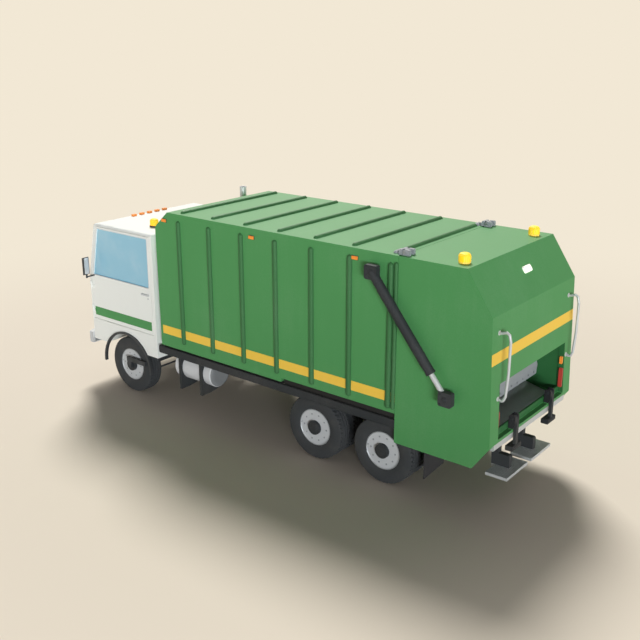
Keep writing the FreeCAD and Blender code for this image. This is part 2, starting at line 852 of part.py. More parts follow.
def roof_rib(number, x):
    name = "roof_rib_%d" % number
    radius = S.roof_rib_radius
    reach = S.body_half - S.roof_rib_inset - radius
    z = S.roof_z
    return fuse(name, [rod(name + "_bar", (x, -reach, z), radius, reach * 2, "Y"),
                       ball(name + "_left", (x, reach, z), radius),
                       ball(name + "_right", (x, -reach, z), radius)])


def hinge_base(side, word):
    """Block on the body's roof with the fixed tongue that carries the hinge pin."""
    x = S.hinge_x
    r = S.hinge_round
    name = "hinge_base_" + word
    y = hinge_y * side
    gap = S.joint_gap
    block = slab(name + "_block", "Y", [
        (x + r + gap, S.roof_z + 7), (S.body_rear_x + 4, S.roof_z + 7),
        (S.body_rear_x + 4, S.roof_z - 5), (x + S.hinge_half + 30, S.roof_z - 5),
        (x + S.hinge_half, hinge_z + r), (x + r + gap, hinge_z + r)],
        y - S.hinge_half, y + S.hinge_half)
    tongue = slab(name + "_tongue", "Y", [
        (x, hinge_z - r), (x + r + gap + 5, hinge_z - r), (x + r + gap + 5, hinge_z + r),
        (x, hinge_z + r)], y - S.hinge_tongue, y + S.hinge_tongue)
    eye = rod(name + "_eye", (x, y - S.hinge_tongue, hinge_z), r, S.hinge_tongue * 2, "Y")
    pin = rod(name + "_pin", (x, y - S.hinge_half, hinge_z), S.hinge_pin, S.hinge_half * 2,
              "Y")
    return fuse(name, [block, tongue, eye, pin])


def refuse_body():
    front = S.body_front_x
    rear = S.body_rear_x
    wall = S.body_wall
    half = S.body_half
    low = S.body_floor_z
    tail_low = S.body_tail_floor_z
    step = S.floor_step_x
    outer = slab("body_outer", "Y", [
        (rear, tail_low), (step - 12, tail_low), (step, low), (front, low),
        (front, S.roof_z - S.nose_drop), (front - S.nose_run, S.roof_z), (rear, S.roof_z)],
        -half, half)
    inner = slab("body_inner", "Y", [
        (rear - 10, tail_low + S.floor_thick), (front - wall, tail_low + S.floor_thick),
        (front - wall, S.roof_z - S.nose_drop - 22),
        (front - S.nose_run - 22, S.roof_z - wall), (rear - 10, S.roof_z - wall)],
        -half + wall, half - wall)
    solids = [cut("body_shell", outer, [inner])]
    for side, word in SIDES:
        y = S.frame_half - S.frame_flange / 2
        solids.append(box("subframe_" + word, (rear, y * side - 40, S.frame_top),
                          (front, y * side + 40, tail_low + 10)))
        solids.append(hinge_base(side, word))
        start = half - 10 if side > 0 else -lift_y - S.lift_block_depth / 2
        solids.append(rod("lift_pin_" + word, (S.lift_top_x, start, lift_top_z), S.lift_pin,
                          lift_y + S.lift_block_depth / 2 - half + 10, "Y"))
    high = S.roof_z - S.side_rib_drop
    ribs = [side_rib(i, x, S.rib_radius, high) for i, x in enumerate(rib_places)]
    ribs.append(side_rib(RIB_COUNT, rear + S.post_radius, S.post_radius, high + 20))
    solids.extend(ribs)
    solids.extend(mirrored("%s_right" % rib.Name, rib) for rib in ribs)
    solids.extend(roof_rib(i, x) for i, x in enumerate(rib_places))
    return fuse("refuse_body", solids)


node("refuse_body", refuse_body())


# ---------------------------------------------------------------- cab
def cab_profile(inset):
    """Side outline of the cab, moved in from the outside by a distance."""
    rear = S.cab_rear_x + inset
    return [
        (rear, S.cab_bottom_z), (S.cab_front_x - inset, S.cab_bottom_z),
        (S.cab_front_x - inset, S.cab_belt_z), (S.cab_roof_front_x - inset, S.cab_roof_z - inset),
        (rear, S.cab_roof_z - inset)]


def side_opening(grow):
    """Door outline in the side of the cab, grown outwards by a distance."""
    belt = S.cab_belt_z
    high = S.door_high_z + grow
    front = S.door_front_x + grow
    return [
        (S.door_rear_x - grow, S.door_low_z - grow), (front, S.door_low_z - grow),
        (front, belt), (front - (high - belt) * rake, high), (S.door_rear_x - grow, high)]


def window_outline(shrink):
    frame = S.window_frame + shrink
    front = S.door_front_x - frame
    belt = S.cab_belt_z
    low = S.window_low_z + shrink
    high = S.window_high_z - shrink
    rear = S.door_rear_x + frame
    return [
        (rear + 10, low), (front - (low - belt) * rake, low),
        (front - (high - belt) * rake, high), (rear, high)]


def cab_shell():
    half = S.cab_half
    wall = S.cab_wall
    floor = S.cab_floor_z
    x = S.front_axle_x
    r = S.cab_round
    outer = common("cab_outer", [
        slab("cab_outer_side", "Y", cab_profile(0), -half, half, [((3, 4), r)]),
        slab("cab_outer_front", "X", [
            (-half, S.cab_bottom_z), (half, S.cab_bottom_z), (half, S.cab_roof_z),
            (-half, S.cab_roof_z)], S.cab_rear_x, S.cab_front_x, [((2, 3), r)])])
    cabin = cab_profile(wall)
    cabin[0] = (S.cab_rear_x + wall, floor + 50)
    cabin[1] = (S.cab_front_x - wall, floor + 50)
    inner = slab("cab_inner", "Y", cabin, -half + wall, half - wall)
    below = box("cab_below", (S.cab_rear_x + wall, -half + wall, S.cab_bottom_z - 10),
                (S.cab_front_x - wall, half - wall, floor))
    notch = box("cab_notch", (S.cab_rear_x - 10, -480, S.cab_bottom_z - 10),
                (S.cab_front_x + 10, 480, S.cab_floor_z - 50))
    screen = slab("screen_cut", "Y", [
        (S.cab_roof_front_x - 140, S.screen_low_z), (S.cab_front_x + 20, S.screen_low_z),
        (S.cab_front_x + 20, S.window_high_z), (S.cab_roof_front_x - 140, S.window_high_z)],
        -screen_half, screen_half)
    tools = [inner, below, notch, screen]
    liners = []
    for side, word in SIDES:
        low, high = sorted((well_inner_y * side, (half + 10) * side), key=lambda s: s.number)
        tools.append(rod("arch_cut_" + word, (x, low, wheel_z), S.arch_radius, high - low, "Y"))
        low, high = sorted(((half - wall - 8) * side, (half + 10) * side),
                           key=lambda s: s.number)
        tools.append(slab("door_cut_" + word, "Y", side_opening(S.door_gap), low, high))
        low, high = sorted((well_inner_y * side, (half - wall) * side),
                           key=lambda s: s.number)
        ring = cut("liner_ring_" + word,
                   rod("liner_outer_" + word, (x, low, wheel_z), S.arch_radius + S.arch_wall,
                       high - low, "Y"),
                   [rod("liner_inner_" + word, (x, low - 5, wheel_z), S.arch_radius,
                        high - low + 10, "Y"),
                    box("liner_trim_" + word, (x - 900, low - 5, -200),
                        (x + 900, high + 5, S.cab_bottom_z))])
        liners.append(ring)
    shell = cut("cab_hollow", outer, tools)
    return fuse("cab_shell", [shell] + liners + hinge_leaves("cab"))


# door hinges: height of the lower end of the door's half
HINGE_HEIGHTS = (1400, 1850)


def hinge_leaves(part):
    """Two strap hinges a side: the door's half is below, the cab's half above it."""
    x = S.door_front_x + S.door_gap / 2
    y = S.cab_half + 18
    gap = S.seat_gap
    pieces = []
    for side, word in SIDES:
        for number, z in enumerate(HINGE_HEIGHTS):
            name = "%s_hinge_%s_%d" % (part, word, number)
            low = z if part == "door" else z + 60 + gap
            barrel = rod(name, (x, y * side, low), 14, 60, "Z")
            reach = -75 if part == "door" else 46
            low_y, high_y = sorted((S.cab_half * side, (S.cab_half + 9) * side),
                                   key=lambda s: s.number)
            low_x, high_x = sorted((x, x + reach), key=lambda s: s.number)
            leaf = box(name + "_leaf", (low_x, low_y, low), (high_x, high_y, low + 60))
            pieces.append((word, fuse(name + "_set", [barrel, leaf])))
    if part == "door":
        return pieces
    return [piece for _, piece in pieces]


def door(side, word, hinges):
    half = S.cab_half
    low, high = sorted(((half - S.cab_wall) * side, half * side), key=lambda s: s.number)
    skin = slab("door_skin_" + word, "Y", side_opening(0), low, high)
    window = slab("door_window_" + word, "Y", window_outline(0), low - 5, high + 5)
    panel = cut("door_panel_" + word, skin, [window])
    handle_y = sorted((half * side, (half + 22) * side), key=lambda s: s.number)
    handle = box("door_handle_" + word, (S.door_rear_x + 60, handle_y[0], 1965),
                 (S.door_rear_x + 240, handle_y[1], 1995))
    own = [piece for tag, piece in hinges if tag == word]
    node("door_" + word, fuse("door_" + word, [panel, handle] + own))
    middle = (half - S.cab_wall / 2) * side
    pane = slab("door_glass_" + word, "Y", window_outline(0), middle - S.glass_thick / 2,
                middle + S.glass_thick / 2)
    node("door_glass_" + word, pane)


def mirror(side, word):
    """Slim mirror head on an arm from the door's front corner."""
    name = "mirror_" + word
    y = S.cab_half
    head_y = sorted(((y + 115) * side, (y + 225) * side), key=lambda s: s.number)
    head = slab(name + "_head", "Y", [
        (3920, 2145), (3966, 2130), (3966, 2450), (3920, 2466)], head_y[0], head_y[1])
    arm_y = sorted((y * side, (y + 170) * side), key=lambda s: s.number)
    arm = rod(name + "_arm", (3943, arm_y[0], 2095), 13, arm_y[1] - arm_y[0], "Y")
    stem = rod(name + "_stem", (3943, (y + 165) * side, 2076), 17, 80, "Z")
    node(name, fuse(name, [head, arm, stem]))


def windscreen():
    inset = 22
    back = inset + S.glass_thick
    low = S.screen_low_z
    high = S.window_high_z
    return slab("cab_glass", "Y", [
        (cab_face_x(low) - back, low), (cab_face_x(low) - inset, low),
        (cab_face_x(high) - inset, high), (cab_face_x(high) - back, high)],
        -screen_half, screen_half)


def wheel_flare(side, word):
    """Black arch trim round the front wheel, its legs reaching below the cab."""
    x = S.front_axle_x
    r = S.arch_radius
    low, high = sorted(((S.cab_half - 20) * side, (S.cab_half + S.flare_out) * side),
                       key=lambda s: s.number)
    outer = rod("flare_outer_" + word, (x, low, wheel_z), r, high - low, "Y")
    inner = rod("flare_inner_" + word, (x, low - 5, wheel_z), r - S.flare_thick,
                high - low + 10, "Y")
    below = box("flare_below_" + word, (x - 900, low - 5, -300),
                (x + 900, high + 5, S.flare_leg_z))
    return cut("flare_" + word, outer, [inner, below])


def cab_interior():
    """Two seats, a dash across the cab, and the steering column with its wheel."""
    floor = S.cab_floor_z + 50
    seat_y = (S.cab_half - S.cab_wall - 50) / 2
    dash_half = S.cab_half - S.cab_wall - S.joint_gap * 3
    solids = []
    for tag, y in (("left", seat_y), ("right", -seat_y)):
        solids.append(slab("seat_" + tag, "Y", [
            (2480, floor), (2960, floor), (2960, 1560), (3020, 1600), (3010, 1690),
            (2660, 1670), (2560, 2270), (2570, 2330), (2550, 2520), (2470, 2520),
            (2480, 2330), (2440, 2250), (2500, 1620)], y - 250, y + 250))
    solids.append(slab("dash", "Y", [
        (3950, floor), (4010, floor), (4010, 2040), (3900, 2060), (3640, 1990), (3600, 1880),
        (3700, 1780), (3880, 1700)], -dash_half, dash_half))
    hub = Vector(3350, seat_y.number, 1890)
    root = Vector(3540, seat_y.number, 1200)
    turn = Rotation(Vector(0, 0, 1), hub - root)
    column = doc.addObject("Part::Cylinder", "steering_column")
    column.Radius = 32
    column.Height = (hub - root).Length
    column.Placement = Placement(root, turn)
    ring = doc.addObject("Part::Torus", "steering_ring")
    ring.Radius1 = 215
    ring.Radius2 = 16
    ring.Placement = Placement(hub, turn)
    spoke = doc.addObject("Part::Box", "steering_spoke")
    spoke.Length = 430
    spoke.Width = 50
    spoke.Height = 16
    spoke.Placement = Placement(hub + turn.multVec(Vector(-215, -25, -8)), turn)
    under = box("under_floor", (3400, seat_y - 150, 1000), (3700, seat_y + 150, floor))
    solids.append(cut("steering", fuse("steering_solid", [column, ring, spoke]), [under]))
    return gather("cab_interior", solids)


def grille():
    """Frame with level slats on the cab's front."""
    x = S.cab_front_x
    frame = cut("grille_frame", box("grille_plate", (x, -620, 1300), (x + 26, 620, 1760)),
                [box("grille_hole", (x - 5, -585, 1335), (x + 40, 585, 1725))])
    slats = [box("grille_slat_%d" % i, (x, -600, 1350 + i * 64), (x + 18, 600, 1386 + i * 64))
             for i in range(6)]
    return fuse("grille", [frame] + slats)


def marker_lamps():
    """Headlamps, roof and side markers and the roof beacon."""
    lamps = []
    for side, word in SIDES:
        low, high = low_high(side, S.cab_half - 410, S.cab_half - 110)
        lamps.append(slab("headlamp_" + word, "X", [
            (low, 1040), (high, 1040), (high, 1200), (low, 1200)], S.cab_front_x,
            S.cab_front_x + 30))
        low, high = sorted((S.body_half * side, (S.body_half + 22) * side),
                           key=lambda s: s.number)
        for number, x in enumerate((1935, -15, -1961)):
            lamps.append(box("side_marker_%s_%d" % (word, number),
                             (x - 48, low, S.roof_z - 162), (x + 48, high, S.roof_z - 116)))
    for number in range(5):
        y = (number - 2) * 185
        lamps.append(box("roof_marker_%d" % number,
                         (S.cab_roof_front_x - 115, y - 42, S.cab_roof_z),
                         (S.cab_roof_front_x - 58, y + 42, S.cab_roof_z + 34)))
    for side, word in SIDES:
        lamps.append(turned("cab_beacon_" + word, "Z", [
            (0, 0), (0, 84), (24, 84), (24, 76), (104, 74), (128, 62), (140, 36), (140, 0)],
            (2790, (S.cab_half - 500) * side, S.cab_roof_z)))
    return gather("marker_lamps", lamps)


node("cab_shell", cab_shell())
door_hinges = hinge_leaves("door")
for side, word in SIDES:
    door(side, word, door_hinges)
    mirror(side, word)
node("cab_glass", windscreen())
node("wheel_flares", gather("wheel_flares", [wheel_flare(s, w) for s, w in SIDES]))
node("cab_interior", cab_interior())
node("grille", grille())
node("marker_lamps", marker_lamps())


# ---------------------------------------------------------------- tailgate
def tail_outline():
    return [
        (tail_x, S.tail_bottom_z), (S.tail_heel_x, S.tail_bottom_z),
        (S.tail_rear_x, S.tail_rear_z), (S.tail_crease_x, tail_crease_z),
        (S.tail_roof_x, S.roof_z), (tail_x, S.roof_z)]


def hinge_lug(side, word):
    """Two ears on the tailgate's roof, one each side of the body's tongue."""
    x = S.hinge_x
    r = S.hinge_round
    ears = []
    for tag, low, high in (("outer", S.hinge_tongue + 5, S.hinge_half),
                           ("inner", -S.hinge_half, -S.hinge_tongue - 5)):
        name = "hinge_ear_%s_%s" % (word, tag)
        y = hinge_y * side
        ears.append(slab(name + "_block", "Y", [
            (x - S.hinge_half, S.roof_z - 5), (x + r - 4, S.roof_z - 5), (x + r - 1, hinge_z),
            (x, hinge_z), (x, hinge_z + r), (x - S.hinge_half, hinge_z + r)],
            y + low, y + high, [((5,), 16)]))
        ears.append(rod(name + "_round", (x, y + low, hinge_z), r, high - low, "Y"))
    return fuse("hinge_lug_" + word, ears)


def tailgate():
    half = S.body_half
    wall = S.rear_wall
    outer = slab("tail_outer", "Y", tail_outline(), -half, half)
    floor = S.body_tail_floor_z + S.floor_thick
    rear_inner = S.tail_rear_x + wall
    inner = slab("tail_inner", "Y", [
        (tail_x + 10, floor), (S.tail_heel_x + 605, floor), (S.tail_heel_x + 30,
                                                             S.hopper_floor_z + 7),
        (rear_inner, S.hopper_floor_z), (rear_inner + 20, S.mouth_top_z),
        (S.tail_crease_x + wall, tail_crease_z - 20),
        (S.tail_roof_x + 40, S.roof_z - wall), (tail_x + 10, S.roof_z - wall)],
        -hopper_half, hopper_half)
    mouth = box("tail_mouth", (S.tail_rear_x - 50, -mouth_half, S.mouth_sill_z),
                (rear_inner + 60, mouth_half, S.mouth_top_z))
    below = box("tail_below", (S.tail_rear_x - 10, -half - 10, S.tail_bottom_z - 10),
                (tail_x + 10, half + 10, S.hopper_pan_z))
    lip = box("mouth_lip", (S.lip_x - S.lip_thick, -hopper_half - 5, S.hopper_pan_z + 10),
              (S.lip_x, hopper_half + 5, S.lip_top_z))
    shaft_reach = hopper_half + 100
    shaft_bore = rod("packer_bore", (S.packer_x, -shaft_reach, S.packer_z),
                     S.packer_shaft + S.running_gap, shaft_reach * 2, "Y")
    solids = [cut("tail_shell", outer, [inner, mouth, below]), lip]
    for side, word in SIDES:
        solids.append(hinge_lug(side, word))
        solids.append(lifter_bracket(side, word))
        reach = lift_y - S.lift_block_depth / 2 - S.seat_gap
        start = half - 10 if side > 0 else -reach
        solids.append(rod("lift_boss_" + word, (S.lift_low_x, start, S.lift_low_z),
                          S.lift_boss, reach - half + 10, "Y"))
    bores = []
    for side, word in SIDES:
        bores.append(rod("hinge_lug_bore_" + word,
                         (S.hinge_x, hinge_y * side - S.hinge_half - 5, hinge_z),
                         S.hinge_pin + S.running_gap, S.hinge_half * 2 + 10, "Y"))
    return cut("tailgate", fuse("tail_solid", solids), bores + [shaft_bore])


def tail_skirts():
    """Side panels that carry on below the hopper to cover the rear wheels."""
    heel = (S.hopper_pan_z - S.tail_bottom_z) / (S.tail_rear_z - S.tail_bottom_z)
    panels = []
    for side, word in SIDES:
        low, high = sorted(((S.body_half - S.skirt_wall) * side, S.body_half * side),
                           key=lambda s: s.number)
        panels.append(slab("tail_skirt_" + word, "Y", [
            (tail_x, S.tail_bottom_z), (S.tail_heel_x, S.tail_bottom_z),
            (S.tail_heel_x + (S.tail_rear_x - S.tail_heel_x) * heel, S.hopper_pan_z),
            (tail_x, S.hopper_pan_z)], low, high))
    return gather("tail_skirts", panels)


def lifter_bracket(side, word):
    """Two ears on the ledge with a fixed pin between them, which carries a lifter arm."""
    x = S.lifter_pin_x
    z = S.lifter_pin_z
    ledge = S.mouth_sill_z - 5
    pieces = []
    y = S.lifter_y * side
    inner = S.lifter_half + 4
    outer = S.lifter_half + 26
    for tag, low, high in (("a", inner, outer), ("b", -outer, -inner)):
        pieces.append(slab("lifter_ear_%s_%s" % (word, tag), "Y", [
            (x + 52, ledge), (x - 4, ledge), (x - 48, ledge + 70), (x - 48, z + 30),
            (x - 26, z + 54), (x + 30, z + 54), (x + 52, z + 30)], y + low, y + high))
    pieces.append(rod("lifter_pin_" + word, (x, y - outer, z), S.lifter_pin, outer * 2, "Y"))
    return fuse("lifter_bracket_" + word, pieces)


def seated_on_tail(name, thing):
    """Trim a piece back to the sloping faces of the tailgate."""
    outer = slab(name + "_seat", "Y", tail_outline(), -S.body_half - 10, S.body_half + 10)
    return cut(name, thing, [outer])


# grab rail's path: distance out from the rear-most line, height
RAIL_PATH = ((140, 2702), (60, 2724), (22, 2700), (0, 2613), (0, 2173), (22, 1850), (50, 1788),
             (78, 1778), (126, 1790))


def grab_rail(side, word):
    """Bent tube standing off the rear face."""
    name = "grab_rail_" + word
    y = (S.body_half - S.rail_inset) * side
    rear = S.rail_rear_x + S.rail_radius
    path = [(rear + out, y, z) for out, z in RAIL_PATH]
    return seated_on_tail(name, tube_run(name + "_tube", path, S.rail_radius))


def rear_step(side, word):
    """Riding step of one side, hung from the hopper's pan by a post and a box foot."""
    name = "step_" + word
    low, high = low_high(side, S.step_inner, S.step_outer)
    plate = box(name + "_plate", (S.step_rear_x, low, S.step_z - S.step_thick),
                (S.step_front_x, high, S.step_z))
    low, high = low_high(side, S.step_post_y - 90, S.step_post_y)
    post = slab(name + "_post", "Y", [
        (S.step_front_x + 60, S.step_z - S.step_thick), (S.step_rear_x + 115, S.step_z - 5),
        (S.step_rear_x + 115, S.step_z + 190), (S.tail_heel_x + 20, S.step_z + 190),
        (S.tail_heel_x + 20, S.hopper_pan_z), (S.tail_heel_x + 140, S.hopper_pan_z)],
        low, high, [((2,), 30)])
    return fuse(name, [plate, post])


def rear_bar():
    """Round-edged bar across the heel, under the ledge."""
    half = S.body_half - S.skirt_wall * 2.5
    bar = slab("rear_bar_solid", "Y", [
        (S.tail_rear_x + 75, S.tail_rear_z - 110), (S.tail_rear_x + 12, S.tail_rear_z - 110),
        (S.tail_rear_x + 12, S.tail_rear_z + 5), (S.tail_rear_x + 75, S.tail_rear_z + 5)],
        -half, half, [((1, 2), 20)])
    return seated_on_tail("rear_bar", bar)


def work_lamp():
    """Plain white lamp standing proud of the slope above the crease."""
    rise = S.tail_crease_drop
    run = S.tail_roof_x - S.tail_crease_x
    lens = slab("work_lamp_lens", "X", [(-105, -50), (105, -50), (105, 50), (-105, 50)],
                0, 24, [((0, 1, 2, 3), 30)])
    wrap = gather("work_lamp_wrap", [lens])
    turn = Rotation(Vector(0, 1, 0), -90 - math.degrees(math.atan2(rise.number, run.number)))
    part = size(325) / rise
    return put(wrap, (S.tail_crease_x + run * part, -80, tail_crease_z + rise * part), turn)


def tail_lamps():
    """Stop and turn lamps inside the mouth, beacons on the roof and a lamp on the slope."""
    lamps = []
    # name, lower and upper height, distances of its ends from the rear face
    table = (("stop", 1285, 1585, 15, 72), ("turn", 1650, 1765, 18, 62))
    for side, word in SIDES:
        low, high = low_high(side, mouth_half - 26, mouth_half)
        for tag, low_z, high_z, back, fore in table:
            x = tail_face_x(low_z)
            lamps.append(slab("%s_lamp_%s" % (tag, word), "Y", [
                (x + fore, low_z), (x + back, low_z), (x + back, high_z), (x + fore, high_z)],
                low, high, [((0, 1, 2, 3), 12)]))
        lamps.append(turned("tail_beacon_" + word, "Z", [
            (0, 0), (0, 80), (22, 80), (22, 84), (98, 82), (124, 66), (134, 38), (134, 0)],
            (-3535, (S.body_half - 245) * side, S.roof_z)))
    return gather("tail_lamps", lamps + [work_lamp()])


def mud_flaps():
    flaps = []
    for side, word in SIDES:
        flaps.append(slab("mud_flap_" + word, "X", [
            ((S.body_half - 120) * side, S.hopper_pan_z), ((S.body_half - 120) * side, 290),
            (600 * side, 330), (560 * side, 420), (560 * side, S.hopper_pan_z)],
            tandem_x - S.tandem_pitch / 2 - 716, tandem_x - S.tandem_pitch / 2 - 700))
    return gather("mud_flaps", flaps)


def packer_blade():
    """Swinging blade across the hopper on its through shaft."""
    x = S.packer_x
    z = S.packer_z
    t = S.packer_thick / 2
    plate = slab("packer_plate", "Y", [
        (x - t, z), (x + t, z), (S.packer_tip_x + t + 40, S.packer_tip_z + 160),
        (S.packer_tip_x + t + 30, S.packer_tip_z), (S.packer_tip_x - t, S.packer_tip_z),
        (S.packer_tip_x - t - 10, S.packer_tip_z + 150)], -packer_half, packer_half)
    boss = rod("packer_tube", (x, -packer_half, z), S.packer_boss, packer_half * 2, "Y")
    reach = hopper_half + 80
    shaft = rod("packer_shaft_bar", (x, -reach, z), S.packer_shaft, reach * 2, "Y")
    return fuse("packer_blade", [plate, boss, shaft])


def lifter_arm(side, word):
    """Hanging arm with its eye on the bracket pin and a cross foot that hooks the bin."""
    x = S.lifter_pin_x
    z = S.lifter_pin_z
    y = S.lifter_y * side
    name = "lifter_arm_" + word
    foot = S.lifter_foot_z
    half = S.lifter_half
    eye = rod(name + "_eye", (x, y - half, z), S.lifter_eye, half * 2, "Y")
    post = slab(name + "_post", "Y", [
        (x - 38, z), (x, z + 10), (x + 10, z - 30), (x - 20, z - 100), (x - 20, foot),
        (x - 64, foot), (x - 64, z - 90)], y - half, y + half)
    toe = slab(name + "_toe", "Y", [
        (x + 44, foot), (x - 72, foot), (x - 72, foot + 75), (x + 44, foot + 75)],
        y - 125, y + 125, [((0, 1, 2, 3), 12)])
    bore = rod(name + "_bore", (x, y - half - 5, z), S.lifter_pin + S.running_gap,
               half * 2 + 10, "Y")
    return cut(name, fuse(name + "_solid", [eye, post, toe]), [bore])


node("tailgate", tailgate())
node("tail_skirts", tail_skirts())
node("rear_step_and_rails", gather("rear_step_and_rails", [
    rear_bar()] + [make(s, w) for make in (rear_step, grab_rail) for s, w in SIDES]))
node("tail_lamps", tail_lamps())
node("mud_flaps", mud_flaps())
node("packer_blade", packer_blade())
node("lifter_arms", gather("lifter_arms", [lifter_arm(s, w) for s, w in SIDES]))


# ---------------------------------------------------------------- lift cylinders
lift_run = S.lift_low_x - S.lift_top_x
lift_fall = S.lift_low_z - lift_top_z
lift_length = root_of(lift_run * lift_run + lift_fall * lift_fall)


def lift_piece(name, side, radius, start, end):
    thing = doc.addObject("Part::Cylinder", name)
    bind(thing, "Radius", radius)
    bind(thing, "Height", size(end) - start)
    turn = Rotation(Vector(0, 0, 1), Vector(lift_run.number, 0, lift_fall.number))
    part = size(start) / lift_length
    return put(thing, (S.lift_top_x + lift_run * part, lift_y * side,
                       lift_top_z + lift_fall * part), turn)


def pin_block(name, side, x, z):
    """Square block round a cylinder's pin."""
    half = S.lift_block / 2
    depth = S.lift_block_depth / 2
    y = lift_y * side
    return slab(name, "Y", [
        (x - half, z - half), (x + half, z - half), (x + half, z + half),
        (x - half, z + half)], y - depth, y + depth, [((0, 1, 2, 3), 30)])


def lift_cylinder(side, word):
    half = S.body_half
    depth = S.lift_block_depth / 2
    bore_start = half if side > 0 else -lift_y - depth - 5
    bore_length = lift_y + depth + 5 - half
    barrel_bore = rod("lift_top_bore_" + word, (S.lift_top_x, bore_start, lift_top_z),
                      S.lift_pin + S.running_gap, bore_length, "Y")
    inside = lift_piece("lift_inside_" + word, side, S.lift_rod_radius + S.seat_gap, 180,
                        S.lift_barrel_length + 20)
    barrel = cut("lift_barrel_" + word, fuse("lift_barrel_solid_" + word, [
        lift_piece("lift_tube_" + word, side, S.lift_barrel_radius, 0, S.lift_barrel_length),
        pin_block("lift_top_block_" + word, side, S.lift_top_x, lift_top_z)]),
                 [inside, barrel_bore])
    bar = fuse("lift_rod_" + word, [
        lift_piece("lift_bar_" + word, side, S.lift_rod_radius, 760, lift_length),
        pin_block("lift_low_block_" + word, side, S.lift_low_x, S.lift_low_z)])
    return barrel, bar


cylinders = [lift_cylinder(side, word) for side, word in SIDES]
node("lift_barrels", gather("lift_barrels", [barrel for barrel, _ in cylinders]))
node("lift_rods", gather("lift_rods", [bar for _, bar in cylinders]))


# ---------------------------------------------------------------- writing the pieces
doc.recompute()
for thing in doc.Objects:
    bad = [word for word in thing.State if word in ("Invalid", "Error")]
    if bad:
        raise RuntimeError("%s: %s" % (thing.Name, bad))
faulty = [t.Label for t in NODES if t.Shape.isNull() or not t.Shape.isValid()]
if faulty:
    raise RuntimeError("no valid shape: %s" % faulty)

os.makedirs("parts", exist_ok=True)
for thing in NODES:
    thing.Shape.exportStep("parts/%s.step" % thing.Label)
print(len(NODES), "pieces written")
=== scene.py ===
"""Dresses the rear-loading garbage truck: paint and stripes, treaded tyres, wheel bolts, glass,
lamps, seals, upholstery, straps, weld beads and fasteners, on a pale studio floor."""

import logging
import math
from dataclasses import dataclass
from enum import Enum
from functools import cached_property, partialmethod
from typing import ClassVar

import bmesh
import bpy
import numpy as np
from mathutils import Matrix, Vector


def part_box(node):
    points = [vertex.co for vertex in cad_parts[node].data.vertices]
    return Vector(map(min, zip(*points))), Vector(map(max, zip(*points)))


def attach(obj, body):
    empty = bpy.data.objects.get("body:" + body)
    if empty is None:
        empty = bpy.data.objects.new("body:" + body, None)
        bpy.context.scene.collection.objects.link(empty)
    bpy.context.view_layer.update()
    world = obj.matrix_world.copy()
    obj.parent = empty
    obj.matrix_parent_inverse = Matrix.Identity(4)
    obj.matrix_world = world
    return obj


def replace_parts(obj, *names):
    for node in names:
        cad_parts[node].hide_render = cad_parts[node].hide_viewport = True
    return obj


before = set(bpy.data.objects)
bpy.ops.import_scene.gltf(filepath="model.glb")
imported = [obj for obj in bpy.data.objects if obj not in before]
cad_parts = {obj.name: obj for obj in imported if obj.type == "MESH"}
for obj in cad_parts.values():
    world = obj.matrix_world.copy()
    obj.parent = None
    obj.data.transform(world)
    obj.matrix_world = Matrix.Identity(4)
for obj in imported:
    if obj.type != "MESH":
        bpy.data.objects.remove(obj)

LOG = logging.getLogger("garbage_truck")
TAU = 2 * math.pi
# the two sides of the truck: sign along Y, and the word used in names
SIDES: tuple[tuple[int, str], ...] = ((1, "left"), (-1, "right"))
Colour = tuple[float, float, float]
Point = tuple[float, float, float]
Profile = list[tuple[float, float]]
ALONG_X: Point = (1.0, 0.0, 0.0)
ALONG_Y: Point = (0.0, 1.0, 0.0)
ALONG_Z: Point = (0.0, 0.0, 1.0)
BACKWARDS: Point = (-1.0, 0.0, 0.0)


def linear(red: int, green: int, blue: int) -> Colour:
    """A display colour, 0 to 255, as scene-linear values, 0 to 1."""
    return tuple(((c / 255 + 0.055) / 1.055) ** 2.4 if c > 10 else c / 255 / 12.92
                 for c in (red, green, blue))


def link(name: str, data: bpy.types.ID) -> bpy.types.Object:
    """A new object at the origin, in the scene.

    Args:
        name: of the object.
        data: its mesh, lamp or camera.

    Returns:
        The object.
    """
    thing = bpy.data.objects.new(name, data)
    bpy.context.scene.collection.objects.link(thing)
    return thing


# ---- shader expressions
class Wire:
    """A number or a vector on its way through a material, usable in Python expressions."""

    def __init__(self, graph: "Graph", socket: bpy.types.NodeSocket) -> None:
        """Keep the graph that the socket belongs to."""
        self.graph = graph
        self.socket = socket

    def math(self, operation: str, *others: "Wire | float") -> "Wire":
        """One Math node on this value and others."""
        return self.graph.node("ShaderNodeMath", {"operation": operation},
                               {i: v for i, v in enumerate((self, *others))})

    # how the operators become Math nodes
    __add__ = __radd__ = partialmethod(math, "ADD")
    __sub__ = partialmethod(math, "SUBTRACT")
    __mul__ = partialmethod(math, "MULTIPLY")
    __gt__ = partialmethod(math, "GREATER_THAN")
    __lt__ = partialmethod(math, "LESS_THAN")
    __abs__ = partialmethod(math, "ABSOLUTE")

    def __rsub__(self, other: float) -> "Wire":
        """A number minus this value."""
        return self.graph.number(other).math("SUBTRACT", self)

    def clip(self) -> "Wire":
        """This value held between 0 and 1."""
        return self.graph.node("ShaderNodeClamp", {}, {0: self, 1: 0.0, 2: 1.0})

    def step(self, low: float, high: float) -> "Wire":
        """A smooth rise from 0 at low to 1 at high."""
        return self.graph.node("ShaderNodeMapRange", {"interpolation_type": "SMOOTHSTEP"},
                               {0: self, 1: low, 2: high, 3: 0.0, 4: 1.0})


